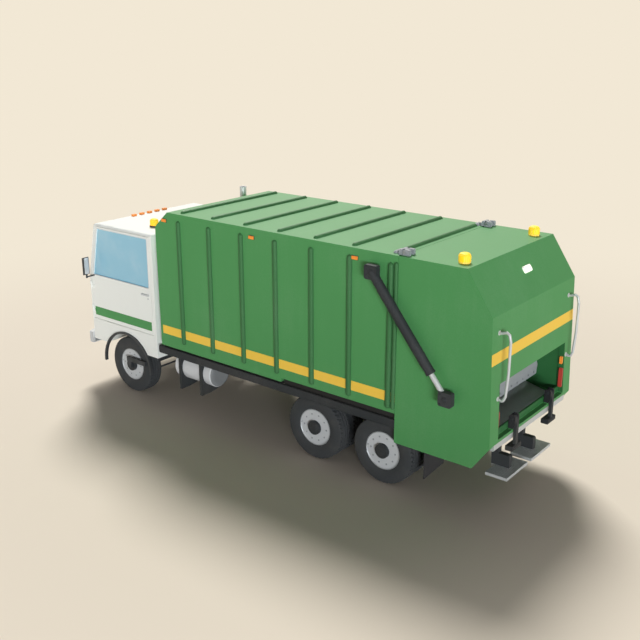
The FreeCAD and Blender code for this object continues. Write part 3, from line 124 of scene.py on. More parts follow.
class Graph:
    """The node tree of a material or of the world, built from expressions."""

    def __init__(self, owner: bpy.types.Material | bpy.types.World,
                 output: str = "ShaderNodeOutputMaterial") -> None:
        """Empty the owner's tree, apart from a new output node of the given type.

        Args:
            owner: the material or the world.
            output: the output node's type.
        """
        self.owner = owner
        owner.use_nodes = True
        self.tree = owner.node_tree
        self.tree.nodes.clear()
        self.output = self.tree.nodes.new(output)

    @cached_property
    def place(self) -> Wire:
        """The point in object coordinates."""
        return self.node("ShaderNodeTexCoord", {}, {}, "Object")

    @cached_property
    def axes(self) -> tuple[Wire, ...]:
        """X, Y and Z of the point."""
        apart = self.node("ShaderNodeSeparateXYZ", {}, {0: self.place}).socket.node
        return tuple(Wire(self, out) for out in apart.outputs)

    def node(self, kind: str, settings: dict[str, object], values: dict[int | str, object],
             out: int | str = 0) -> Wire:
        """Add one node.

        Args:
            kind: the node's type.
            settings: properties, set before the sockets are filled.
            values: input sockets by name or number, as wires or plain values.
            out: the output socket to return.

        Returns:
            The wire that leaves the chosen output.
        """
        made = self.tree.nodes.new(kind)
        for key, value in settings.items():
            setattr(made, key, value)
        for key, value in values.items():
            socket = made.inputs[key]
            if isinstance(value, Wire):
                self.tree.links.new(value.socket, socket)
            elif socket.type == "RGBA":
                socket.default_value = (*value, 1)
            else:
                socket.default_value = value
        return Wire(self, made.outputs[out])

    def number(self, value: float) -> Wire:
        """A plain number as a wire."""
        return self.node("ShaderNodeMath", {"operation": "ADD"}, {0: value, 1: 0.0})

    def noise(self, scale: float, detail: float = 3.0, rough: float = 0.5,
              stretch: Point = (1.0, 1.0, 1.0)) -> Wire:
        """Cloudy variation, about 0.5 on average.

        Args:
            scale: how many clouds fit in a metre.
            detail: finer layers.
            rough: how strong the finer layers are.
            stretch: how much finer the clouds are along each axis.

        Returns:
            The variation as a number.
        """
        place = self.place
        if stretch != (1.0, 1.0, 1.0):
            place = self.node("ShaderNodeMapping", {}, {"Vector": place, "Scale": stretch})
        return self.node("ShaderNodeTexNoise", {},
                         {"Vector": place, "Scale": scale, "Detail": detail,
                          "Roughness": rough})

    def waves(self, direction: str, scale: float, distortion: float) -> Wire:
        """Parallel bands from 0 to 1, across the given direction."""
        return self.node("ShaderNodeTexWave", {"bands_direction": direction},
                         {"Vector": self.place, "Scale": scale, "Distortion": distortion})

    def mix(self, mask: Wire | float, first: Wire | Colour, second: Wire | Colour) -> Wire:
        """Two colours blended: the mask's 0 gives the first, 1 the second."""
        return self.node("ShaderNodeMix", {"data_type": "RGBA"},
                         {0: mask, 6: first, 7: second}, 2)

    def patched(self, colour: Wire | Colour,
                patches: tuple["Patch | Disc", ...]) -> Wire | Colour:
        """A colour with patches of other colours laid over it in turn.

        Args:
            colour: what lies under the patches.
            patches: in the order they are laid.

        Returns:
            The colour with all of its patches.
        """
        for patch in patches:
            colour = self.mix(patch.mask(self), colour, patch.hue.value)
        return colour

    def bump(self, height: Wire, strength: float, distance: float) -> Wire:
        """A surface normal bent by a height."""
        return self.node("ShaderNodeBump", {},
                         {"Strength": strength, "Distance": distance, "Height": height})

    def seen(self) -> Wire:
        """1 for rays from the camera, from glossy metal or through glass, otherwise 0.

        Returns:
            The mask as a number.
        """
        rays = [self.node("ShaderNodeLightPath", {}, {}, name)
                for name in ("Is Camera Ray", "Is Glossy Ray", "Is Transmission Ray")]
        return rays[0].math("MAXIMUM", rays[1]).math("MAXIMUM", rays[2])

    def shader(self, sockets: dict[str, object]) -> Wire:
        """A Principled shader with some of its sockets filled, by name."""
        return self.node("ShaderNodeBsdfPrincipled", {}, sockets)

    def close(self, shader: Wire) -> bpy.types.Material | bpy.types.World:
        """Lead a shader to the output, and return the owner."""
        self.tree.links.new(shader.socket, self.output.inputs["Surface"])
        return self.owner


# ---- finishes
class Hue(Enum):
    """The truck's colours."""

    GREEN = linear(77, 145, 86)
    # painted shade: the ribs are painted darker than the wall, standing in for the shade on their
    # rounded faces
    RIB_GREEN = linear(56, 108, 64)
    # painted shade: the hopper's inner walls are painted darker, for the shade inside it
    JAMB_GREEN = linear(46, 104, 58)
    YELLOW = linear(240, 200, 78)
    WHITE = linear(232, 236, 232)
    BLACK = linear(46, 50, 53)
    SOOT = linear(42, 43, 46)
    # painted shadow: near-black for the strips in the recess over the sills
    INK = linear(14, 15, 16)
    # worn bare steel, made far paler than it is as painted light on the hopper floor: wear and
    # painted light together
    WORN = linear(196, 208, 204)
    STEEL = linear(150, 156, 160)
    GREY = linear(193, 197, 199)
    PALE = linear(206, 209, 211)
    BLUE_GLASS = linear(150, 206, 230)
    CLOTH = linear(84, 90, 98)
    END_GREY = linear(122, 126, 128)
    AMBER = linear(214, 128, 50)
    LEMON = linear(255, 208, 30)
    RED = linear(156, 56, 46)
    CLEAR = linear(250, 250, 240)
    ROAD_DUST = linear(120, 112, 98)
    RUBBER_DUST = linear(112, 106, 98)
    SHADE = (0.0, 0.0, 0.0)
    GLEAM = (1.0, 1.0, 1.0)
    SAND = linear(214, 205, 190)
    PAPER = linear(242, 232, 213)


@dataclass(frozen=True)
class Patch:
    """A box of the truck that carries another colour: |y| counts, so it is on both sides."""

    hue: Hue
    low: Point
    high: Point

    def mask(self, graph: Graph) -> Wire:
        """1 inside the box, 0 outside it.

        Args:
            graph: the material's node tree.

        Returns:
            The mask as a number.
        """
        x, y, z = graph.axes
        inside: Wire | float = 1.0
        for value, low, high in zip((x, abs(y), z), self.low, self.high):
            inside = (value > low) * (value < high) * inside
        return inside


@dataclass(frozen=True)
class Disc:
    """A round patch of another colour about a line along Y."""

    hue: Hue
    x: float
    z: float
    radius: float

    def mask(self, graph: Graph) -> Wire:
        """1 where the distance from the line is less than the radius.

        Args:
            graph: the material's node tree.

        Returns:
            The mask as a number.
        """
        x, _, z = graph.axes
        across, up = x - self.x, z - self.z
        return (across * across + up * up) < self.radius ** 2


@dataclass(frozen=True)
class Finish:
    """What every finish has: its name, the slot in the record for pieces in it, its colour."""

    name: str
    slot: str
    hue: Hue

    def build(self) -> bpy.types.Material:
        """Make the material."""
        graph = Graph(bpy.data.materials.new(self.name))
        return graph.close(graph.shader(self.sockets(graph)))

    def sockets(self, graph: Graph) -> dict[str, object]:
        """What goes into the Principled shader, by socket: one way for each kind of finish."""
        raise NotImplementedError


@dataclass(frozen=True)
class Paint(Finish):
    """Sprayed enamel: an even colour, faint orange peel, road dust that thickens downwards."""

    roughness: float = 0.5
    coat: float = 0.0
    dust: float = 0.08
    patches: tuple[Patch | Disc, ...] = ()
    cloudy: float = 0.07
    specked: float = 0.04
    streaked: float = 0.025

    def sockets(self, graph: Graph) -> dict[str, object]:
        """Clouds, specks and upright streaks shade the paint; dust lies where clouds are.

        Args:
            graph: the material's node tree.

        Returns:
            The shader's inputs, by socket.
        """
        clouds = graph.noise(0.9, 4.0)
        speck = graph.noise(55.0, 2.0)
        colour = graph.patched(self.hue.value, self.patches)
        streaks = graph.noise(2.0, 3.0, 0.6, (4.0, 4.0, 0.3))
        shade = ((clouds - 0.5) * self.cloudy + (speck - 0.5) * self.specked
                 + (streaks - 0.5) * self.streaked)
        colour = graph.mix((shade * -1.0).clip(), colour, Hue.SHADE.value)
        colour = graph.mix(shade.clip(), colour, Hue.GLEAM.value)
        low_down = 1.0 - graph.axes[2].step(0.2, 1.6)
        grime = low_down * clouds.step(0.35, 0.75) * self.dust
        return {"Base Color": graph.mix(grime, colour, Hue.ROAD_DUST.value),
                "Roughness": self.roughness + (clouds - 0.5) * 0.12 + grime * 0.5,
                "Normal": graph.bump(graph.noise(160.0, 1.0), 0.06, 0.0006),
                "Specular IOR Level": 0.2, "Coat Weight": self.coat, "Coat Roughness": 0.2}


@dataclass(frozen=True)
class Metal(Finish):
    """Bare or plated metal with fine drawn lines along one axis; its patches are enamel."""

    roughness: float = 0.3
    metallic: float = 0.85
    painted: tuple[Patch, ...] = ()
    grain: Point = (6.0, 6.0, 90.0)

    def sockets(self, graph: Graph) -> dict[str, object]:
        """Lines and clouds vary the metal; enamel on it is matt and not metallic.

        Args:
            graph: the material's node tree.

        Returns:
            The shader's inputs, by socket.
        """
        lines = graph.noise(6.0, 2.0, 0.5, self.grain)
        clouds = graph.noise(7.0)
        colour = graph.mix((clouds - 0.35).clip() * 0.35, self.hue.value, Hue.STEEL.value)
        rough = self.roughness + (lines - 0.5) * 0.16 + (clouds - 0.5) * 0.1
        metallic: Wire | float = self.metallic
        for patch in self.painted:
            mask = patch.mask(graph)
            colour = graph.mix(mask, colour, patch.hue.value)
            rough = rough + mask * 0.3
            metallic = (1.0 - mask) * metallic
        return {"Base Color": colour, "Roughness": rough, "Metallic": metallic,
                "Normal": graph.bump(lines, 0.08, 0.0008)}


@dataclass(frozen=True)
class Rubber(Finish):
    """Black rubber: matt, dusty where it is rough."""

    dust: float = 0.12

    def sockets(self, graph: Graph) -> dict[str, object]:
        """Dust in clouds over a fine grain.

        Args:
            graph: the material's node tree.

        Returns:
            The shader's inputs, by socket.
        """
        clouds = graph.noise(4.0, 5.0, 0.6)
        grain = graph.noise(220.0, 2.0)
        return {"Base Color": graph.mix(clouds.step(0.42, 0.8) * self.dust, self.hue.value,
                                        Hue.RUBBER_DUST.value),
                "Roughness": 0.78 + (grain - 0.5) * 0.2,
                "Normal": graph.bump(grain, 0.15, 0.0012)}


@dataclass(frozen=True)
class Cloth(Finish):
    """Woven seat cloth: two crossing sets of threads, with darker flecks."""

    def sockets(self, graph: Graph) -> dict[str, object]:
        """Threads raise and lighten the cloth.

        Args:
            graph: the material's node tree.

        Returns:
            The shader's inputs, by socket.
        """
        weave = (graph.waves("Y", 150.0, 0.4) * 0.5
                 + graph.waves("DIAGONAL", 120.0, 0.4) * 0.5)
        flecks = graph.noise(90.0, 2.0).step(0.5, 0.7)
        colour = graph.mix(flecks * 0.35, self.hue.value, Hue.SOOT.value)
        return {"Base Color": graph.mix(weave * 0.2, colour, Hue.STEEL.value),
                "Roughness": 0.9, "Sheen Weight": 0.3,
                "Normal": graph.bump(weave, 0.3, 0.0008)}


@dataclass(frozen=True)
class Plastic(Finish):
    """Moulded plastic with a leathery grain."""

    roughness: float = 0.55

    def sockets(self, graph: Graph) -> dict[str, object]:
        """Small cells raise the surface, clouds darken it.

        Args:
            graph: the material's node tree.

        Returns:
            The shader's inputs, by socket.
        """
        cells = graph.node("ShaderNodeTexVoronoi", {"feature": "SMOOTH_F1"},
                           {"Vector": graph.place, "Scale": 260.0})
        clouds = graph.noise(3.0)
        shade = (clouds - 0.4).clip() * 0.3
        return {"Base Color": graph.mix(shade, self.hue.value, Hue.BLACK.value),
                "Roughness": self.roughness + (clouds - 0.5) * 0.12,
                "Normal": graph.bump(cells, 0.12, 0.0006)}


@dataclass(frozen=True)
class Pane(Finish):
    """Tinted glass with a faint film."""

    alpha: float = 0.86

    def sockets(self, graph: Graph) -> dict[str, object]:
        """The film is paler, duller and thicker in clouds.

        Args:
            graph: the material's node tree.

        Returns:
            The shader's inputs, by socket.
        """
        film = graph.noise(2.2, 4.0)
        graph.owner.surface_render_method = "BLENDED"
        pale = film.step(0.4, 0.8) * 0.12
        return {"Base Color": graph.mix(pale, self.hue.value, Hue.CLEAR.value),
                "Roughness": 0.08 + film * 0.10, "Alpha": self.alpha + (film - 0.5) * 0.06,
                "Coat Weight": 0.4, "Coat Roughness": 0.05}


@dataclass(frozen=True)
class Lens(Finish):
    """A moulded lamp lens: ribbed, softly glowing from inside."""

    patches: tuple[Patch, ...] = ()
    glow: float = 0.36

    def sockets(self, graph: Graph) -> dict[str, object]:
        """Ribs lighten and raise the lens, and the glow has its colour.

        Args:
            graph: the material's node tree.

        Returns:
            The shader's inputs, by socket.
        """
        ribs = graph.waves("Y", 22.0, 0.0)
        colour = graph.mix(ribs.step(0.3, 0.7) * 0.05,
                           graph.patched(self.hue.value, self.patches), Hue.GLEAM.value)
        return {"Base Color": colour, "Roughness": 0.55, "Specular IOR Level": 0.25,
                "Emission Color": colour, "Emission Strength": self.glow,
                "Normal": graph.bump(ribs, 0.1, 0.001)}


# ---- shapes
@dataclass
class Shape:
    """Points and quads of one surface or of several joined ones."""

    points: np.ndarray
    quads: np.ndarray

    def spun(self, angles: np.ndarray, centre: Point, axis: Point = ALONG_Y) -> "Shape":
        """Copies turned about an axis a and joined: an offset p from the centre becomes
        cos * p + sin * (a x p) + (1 - cos) (a . p) a.

        Args:
            angles: one angle a copy, in radians.
            centre: a point on the axis.
            axis: the axis as a unit vector.

        Returns:
            The joined copies.
        """
        a = np.array(axis, float)
        p = self.points - np.array(centre)
        c, s = np.cos(angles)[:, None, None], np.sin(angles)[:, None, None]
        out = c * p + s * np.cross(a, p) + (1 - c) * (p @ a)[:, None] * a
        return self.copied(out + np.array(centre))

    def ringed(self, count: int, centre: Point, axis: Point = ALONG_Y) -> "Shape":
        """A number of copies evenly round an axis, joined."""
        return self.spun(np.arange(count) / count * TAU, centre, axis)

    def repeated(self, places: np.ndarray | list[Point]) -> "Shape":
        """Copies shifted to each of some places, joined."""
        return self.copied(self.points[None] + np.asarray(places, float)[:, None])

    def along(self, axis: Point, *steps: float) -> "Shape":
        """Copies shifted by each of some lengths along an axis, joined."""
        return self.repeated(np.outer(steps, axis))

    def copied(self, points: np.ndarray) -> "Shape":
        """Join copies of the shape.

        Args:
            points: array of copies x points x 3.

        Returns:
            The joined copies.
        """
        count, size = points.shape[0], len(self.points)
        quads = self.quads[None] + (np.arange(count) * size)[:, None, None]
        return Shape(points.reshape(-1, 3), quads.reshape(-1, 4))

    def mirrored(self) -> "Shape":
        """The shape on the other side of the truck, its faces still pointing outwards."""
        return Shape(self.points * np.array((1, -1, 1)), self.quads[:, ::-1])

    def paired(self) -> "Shape":
        """The shape together with its mirror image."""
        return self + self.mirrored()

    def __add__(self, other: "Shape") -> "Shape":
        """Both shapes as one."""
        return Shape(np.vstack((self.points, other.points)),
                     np.vstack((self.quads, other.quads + len(self.points))))

    def mesh(self, name: str, material: bpy.types.Material) -> bpy.types.Mesh:
        """The shape as a mesh in one material.

        Args:
            name: of the mesh.
            material: of all its faces.

        Returns:
            The mesh.
        """
        mesh = bpy.data.meshes.new(name)
        mesh.from_pydata(self.points.tolist(), [], self.quads.tolist())
        mesh.materials.append(material)
        return mesh


def joined(shapes: list[Shape]) -> Shape:
    """Several shapes as one.

    Args:
        shapes: at least one.

    Returns:
        Their sum.
    """
    total = shapes[0]
    for shape in shapes[1:]:
        total = total + shape
    return total


def grid(points: np.ndarray, wrap_u: bool = False, wrap_v: bool = False) -> Shape:
    """Quads between neighbouring points of a grid of rows and columns.

    Args:
        points: array of rows x columns x 3.
        wrap_u: join the last row to the first.
        wrap_v: join the last column to the first.

    Returns:
        The surface.
    """
    rows, cols = points.shape[:2]
    index = np.arange(rows * cols).reshape(rows, cols)
    if wrap_u:
        index = np.vstack((index, index[:1]))
    if wrap_v:
        index = np.hstack((index, index[:, :1]))
    quads = np.stack((index[:-1, :-1], index[1:, :-1], index[1:, 1:], index[:-1, 1:]), -1)
    return Shape(points.reshape(-1, 3), quads.reshape(-1, 4))


def lathe(profile: Profile, centre: Point, axis: Point = ALONG_Y, steps: int = 48) -> Shape:
    """A closed profile turned about an axis: (along, radius) goes to
    centre + along * axis + radius * (cos a * first + sin a * second), where first and second
    are unit vectors across the axis.

    Args:
        profile: corners as (along the axis, radius); it is closed back to its start.
        centre: where along = 0 lies on the axis.
        axis: direction of the axis.
        steps: facets round the axis.

    Returns:
        The turned surface.
    """
    along = np.array(axis, float) / np.linalg.norm(axis)
    first = np.cross(ALONG_Z if abs(along[2]) < 0.9 else ALONG_X, along)
    first /= np.linalg.norm(first)
    angle = np.linspace(0, TAU, steps, endpoint=False)[:, None]
    ring = np.cos(angle) * first + np.sin(angle) * np.cross(along, first)
    shape = np.array(profile, float)
    points = shape[:, :1, None] * along + shape[:, 1:, None] * ring[None]
    return grid(points + np.array(centre), True, True)


def band(at: Point, axis: Point, half: float, inner: float, outer: float,
         slant: float = 0.0, steps: int = 36) -> Shape:
    """A ring round a pipe, half its width each way; the slant narrows its outer face."""
    return lathe([(-half, inner), (slant - half, outer), (half - slant, outer),
                  (half, inner)], at, axis, steps)


def hex_head(at: Point, axis: Point, across: float, height: float) -> Shape:
    """A hexagon head on a round washer.

    Args:
        at: middle of the washer's foot.
        axis: the way the head points.
        across: the head's width over its flats.
        height: of washer and head together.

    Returns:
        Both turned surfaces.
    """
    half = across / 2
    washer = lathe([(0, 0), (0, half * 1.55), (height * 0.22, half * 1.5),
                    (height * 0.22, 0)], at, axis, 12)
    return washer + lathe([(height * 0.2, 0), (height * 0.2, half * 1.15),
                           (height * 0.85, half * 1.15), (height, half * 0.9),
                           (height, 0)], at, axis, 6)


def dome(at: Point, axis: Point, radius: float) -> Shape:
    """A rivet: the profile (r sin t / 2, r cos t) of a flattened half ball, turned.

    Args:
        at: middle of its foot.
        axis: the way it points.
        radius: of its foot.

    Returns:
        The turned surface.
    """
    t = np.linspace(0, math.pi / 2, 4)
    outer = [(radius * 0.5 * math.sin(a), radius * math.cos(a)) for a in t]
    return lathe([(0, 0)] + outer, at, axis, 8)


def pin_caps(profile: Profile, at: Point, half: float, steps: int) -> Shape:
    """Turned caps on both ends of a pin along Y and of its mirror image.

    Args:
        profile: corners of a cap, as in lathe.
        at: the pin's middle.
        half: half its length.
        steps: facets round a cap.

    Returns:
        The four caps.
    """
    x, y, z = at
    return joined([lathe(profile, (x, y + side * half, z), (0, side, 0), steps)
                   for side, _ in SIDES]).paired()


def pin_plate(x: float, y: float, z: float) -> Shape:
    """Round keeper plates with a raised middle, a nipple and four bolts, on both sides.

    Args:
        x, y, z: middle of the left plate's foot.

    Returns:
        Both plates with their bolts.
    """
    plate = lathe([(0, 0), (0, 0.044), (0.005, 0.042), (0.006, 0.026), (0.010, 0.022),
                   (0.010, 0.006), (0.016, 0.005), (0.018, 0)], (x, y, z), ALONG_Y, 28)
    bolt = hex_head((x + 0.033, y + 0.0045, z), ALONG_Y, 0.009, 0.004)
    return (plate + bolt.spun(np.arange(4) / 4 * TAU + 0.6, (x, y, z))).paired()


def sweep(path: list[Point] | np.ndarray, width: float, depth: float, up: Point = ALONG_Z,
          sides: int = 12, power: float = 2.0, closed: bool = False,
          swell: np.ndarray | float = 1.0) -> Shape:
    """A section carried along a path: the section is |a/width|^p + |b/depth|^p = 1, laid
    across the path's tangent with b along the given up direction.

    Args:
        path: points of the centre line.
        width, depth: half sizes of the section.
        up: direction that b leans to.
        sides: points round the section.
        power: 2 gives an ellipse, larger gives a rounded rectangle.
        closed: join the last point of the path to the first.
        swell: size of the section at each point, as a share.

    Returns:
        The closed tube.
    """
    line = np.array(path, float)
    ahead = np.roll(line, -1, 0) - np.roll(line, 1, 0)
    if not closed:
        ahead[0], ahead[-1] = line[1] - line[0], line[-1] - line[-2]
    ahead /= np.linalg.norm(ahead, axis=1)[:, None]
    across = np.cross(ahead, np.array(up, float))
    across /= np.linalg.norm(across, axis=1)[:, None]
    rise = np.cross(across, ahead)
    turn = (np.arange(sides) + 0.5) / sides * TAU
    c, s = np.cos(turn), np.sin(turn)
    size = (np.abs(c) ** power + np.abs(s) ** power) ** (-1 / power)
    grown = np.broadcast_to(swell, len(line))[:, None, None]
    a, b = c * size * width, s * size * depth
    ring = line[:, None] + (across[:, None] * a[:, None] + rise[:, None] * b[:, None]) * grown
    if not closed:
        ring = np.concatenate((line[:1, None].repeat(sides, 1), ring,
                               line[-1:, None].repeat(sides, 1)))
    return grid(ring, closed, True)


def bent(points: list[Point], radius: float, steps: int = 6, closed: bool = False) -> np.ndarray:
    """Round the corners of a path: each corner becomes the curve (1-t)^2 A + 2t(1-t) C + t^2 B
    between points a radius before and after it.

    Args:
        points: the corners.
        radius: how far from each corner its bend starts.
        steps: points in a bend.
        closed: the path runs back to its start.

    Returns:
        The points of the rounded path.
    """
    line = [np.array(p, float) for p in points]
    if closed:
        line = [line[-1], *line, line[0]]
    t = np.linspace(0, 1, steps)[:, None]
    out = [] if closed else [line[:1]]
    for before, corner, after in zip(line, line[1:], line[2:]):
        start = corner + (before - corner) / np.linalg.norm(before - corner) * radius
        end = corner + (after - corner) / np.linalg.norm(after - corner) * radius
        out.append((1 - t) ** 2 * start + 2 * t * (1 - t) * corner + t ** 2 * end)
    if not closed:
        out.append(line[-1:])
    return np.concatenate(out)


def loop(corners: list[Point], bend: float, width: float, depth: float, up: Point = ALONG_X,
         steps: int = 6, sides: int = 8, power: float = 2.0) -> Shape:
    """A closed frame with bent corners: corners and bend as in bent, the rest as in sweep."""
    return sweep(bent(corners, bend, steps, True), width, depth, up, sides, power, True)


def upright(x: float, low_y: float, high_y: float, low_z: float, high_z: float) -> list[Point]:
    """Corners of an upright rectangle across X."""
    return [(x, low_y, low_z), (x, high_y, low_z), (x, high_y, high_z), (x, low_y, high_z)]


def weld(start: Point, end: Point, radius: float = 0.005, pitch: float = 0.03) -> Shape:
    """A weld bead: a round section on a straight run, its size 1 + 0.15 cos(2 pi s / pitch).

    Args:
        start, end: of the bead.
        radius: of its section.
        pitch: length of a ripple.

    Returns:
        The closed bead.
    """
    first, last = np.array(start, float), np.array(end, float)
    length = np.linalg.norm(last - first)
    t = np.linspace(0, 1, max(4, int(length / pitch * 4)))[:, None]
    up = ALONG_X if abs(last[0] - first[0]) < length * 0.5 else ALONG_Z
    return sweep(first + (last - first) * t, radius, radius, up, 6,
                 swell=1 + 0.15 * np.cos(t[:, 0] * length / pitch * TAU))


def pillow(low: Point, high: Point, radius: float, steps: int = 3) -> Shape:
    """A box with round edges: sign(n) * (half - radius) + radius * n over the unit sphere n.

    Args:
        low, high: corners of the box.
        radius: of its edges.
        steps: facets in a quarter turn.

    Returns:
        The closed block.
    """
    half = (np.array(high, float) - np.array(low, float)) / 2
    centre = (np.array(high, float) + np.array(low, float)) / 2
    radius = min(radius, float(half.min()) * 0.999)
    quarter = np.linspace(0, math.pi / 2, steps + 1)
    rise = np.concatenate((-math.pi / 2 + quarter, quarter))[:, None]
    turn = np.concatenate([quarter + math.pi / 2 * i for i in range(4)])
    normal = np.stack(np.broadcast_arrays(np.cos(rise) * np.cos(turn),
                                          np.cos(rise) * np.sin(turn), np.sin(rise)), -1)
    sign = np.stack(np.broadcast_arrays(np.repeat((1, -1, -1, 1), steps + 1),
                                        np.repeat((1, 1, -1, -1), steps + 1),
                                        np.repeat((-1, 1), steps + 1)[:, None]), -1)
    points = centre + sign * (half - radius) + normal * radius
    poles = points[[0, -1]].mean(1, keepdims=True).repeat(points.shape[1], 1)
    return grid(np.concatenate((poles[:1], points, poles[1:])), False, True)


# ---- sub-assemblies
@dataclass
class Assembly:
    """Added pieces that take their finishes from one table, which also holds each finish's usual
    slot.
    """

    finishes: dict[str, tuple[bpy.types.Material, str]]
    body: ClassVar[str] = "chassis"

    def put(self, name: str, shape: Shape, finish: str, slot: str = "", body: str = "",
            smooth: float = 35.0) -> bpy.types.Object:
        """Make a piece's mesh, close it, point its faces outwards and fasten it to a body.

        Args:
            name: the piece's name.
            shape: its surfaces.
            finish: the name of its finish.
            slot: the record's material slot, if it isn't the finish's usual one; not used.
            body: the body that it rides on, if it isn't the assembly's usual one.
            smooth: edges flatter than this many degrees are shaded smooth.

        Returns:
            The new object.
        """
        material, usual_slot = self.finishes[finish]
        mesh = shape.mesh(name, material)
        work = bmesh.new()
        work.from_mesh(mesh)
        bmesh.ops.remove_doubles(work, verts=work.verts, dist=1e-5)
        bmesh.ops.dissolve_degenerate(work, edges=work.edges, dist=1e-6)
        bmesh.ops.recalc_face_normals(work, faces=work.faces)
        work.to_mesh(mesh)
        work.free()
        mesh.shade_smooth()
        mesh.set_sharp_from_angle(angle=math.radians(smooth))
        piece = link(name, mesh)
        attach(piece, body or self.body)
        LOG.info("%s on %s, %d faces", name, body or self.body, len(mesh.polygons))
        return piece


@dataclass
class Wheel(Assembly):
    """One road wheel position: its tyres, bolts, lock ring, hub cap and valve. The pattern
    gives the names of its body, rims and tyres. The tread's widths are shares of the
    tyre's, its lengths shares of a row."""

    pattern: str
    side: int
    tread_rows: int = 44
    groove: float = 0.013
    tyre_width: float = 0.28
    bead: float = 0.297
    crown: float = 0.41
    line_half: float = 0.021
    zigzag: float = 0.035
    slot_start: float = 0.27
    slot_half: float = 0.14
    disc_depth: float = 0.046
    bolt_circle: float = 0.215
    bolts: int = 10

    def tread(self, middle_y: float, centre: Vector, radius: float) -> Shape:
        """A tyre: the profile is a rounded section; on its crown the radius drops by the groove
        depth where a zigzag line, y = k + a * tri(n * angle), or a shoulder slot runs.

        Args:
            middle_y: the tyre's middle.
            centre: the wheel's centre.
            radius: over the tread.

        Returns:
            The closed tyre.
        """
        crown = np.linspace(-self.crown, self.crown, 34)
        flank = np.array([(-0.42, self.bead), (-0.5, self.bead + 0.05),
                          (-0.5, self.bead + 0.11), (-0.497, radius - 0.10),
                          (-0.482, radius - 0.05), (-0.452, radius - 0.018)])
        across = np.concatenate((flank[:, 0], crown, -flank[::-1, 0]))[:, None]
        outline = np.concatenate((flank[:, 1], radius - 0.006 * (crown / self.crown) ** 4,
                                  flank[::-1, 1]))[:, None]
        around = np.linspace(0, TAU, self.tread_rows * 6, endpoint=False)
        row = around * self.tread_rows / TAU
        tri = np.abs((row % 1) * 2 - 1) - 0.5
        cut = (np.abs(across) > self.slot_start) & (np.abs((row + 0.25) % 1 - 0.5)
                                                    < self.slot_half)
        for middle in (-0.2, 0.0, 0.2):
            cut |= np.abs(across - middle - tri * self.zigzag) < self.line_half
        cut &= np.abs(across) <= self.crown + 0.0001
        reach = outline - np.where(cut, self.groove, 0.0)
        return grid(np.stack(np.broadcast_arrays(
            centre.x + reach * np.cos(around), middle_y + across * self.tyre_width,
            centre.z + reach * np.sin(around)), -1), True, True)

    def build(self) -> None:
        """Make the tyres, bolts on a circle, a lock ring round the disc, a valve and, on the
        rear wheels, a stepped hub cap with its studs."""
        body, rim, tyre = (self.pattern.format(part) for part in ("wheel", "rim", "tyre"))
        low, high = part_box(tyre)
        centre = (low + high) / 2
        radius = (high.z - low.z) / 2
        middles = [low.y + self.tyre_width / 2]
        if high.y - low.y > self.tyre_width + 0.05:
            middles.append(high.y - self.tyre_width / 2)
        tyres = joined([self.tread(middle, centre, radius) for middle in middles])
        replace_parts(self.put(tyre + "_tread", tyres, "tyre_rubber", body=body, smooth=28), tyre)
        low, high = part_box(rim)
        out: Point = (0.0, float(self.side), 0.0)
        hub = high.y if self.side > 0 else low.y
        disc = hub - self.side * self.disc_depth
        bolts = hex_head((centre.x + self.bolt_circle, disc, centre.z), out, 0.019,
                         0.008).ringed(self.bolts, tuple(centre))
        ring = lathe([(0.0085, 0.2825), (0.013, 0.2870), (0.013, 0.2935), (0.0085, 0.2945)],
                     (centre.x, disc, centre.z), out, 72)
        valve = lathe([(0, 0), (0, 0.006), (0.026, 0.006), (0.030, 0.003), (0.030, 0)],
                      (centre.x + 0.255, disc, centre.z + 0.03), out, 10)
        self.put(rim + "_bolts", bolts + ring + valve, "nut_steel", body=body)
        if self.pattern.startswith("rear"):
            cap = lathe([(-0.03, 0), (-0.03, 0.037), (0.002, 0.037), (0.002, 0.104),
                         (0.006, 0.100), (0.006, 0.066), (0.012, 0.060), (0.014, 0.050),
                         (0.014, 0)], (centre.x, hub, centre.z), out)
            studs = hex_head((centre.x + 0.083, hub + self.side * 0.0055, centre.z), out,
                             0.013, 0.006).ringed(8, tuple(centre))
            self.put(rim + "_hub_cap", cap + studs, "chassis_enamel", body=body)


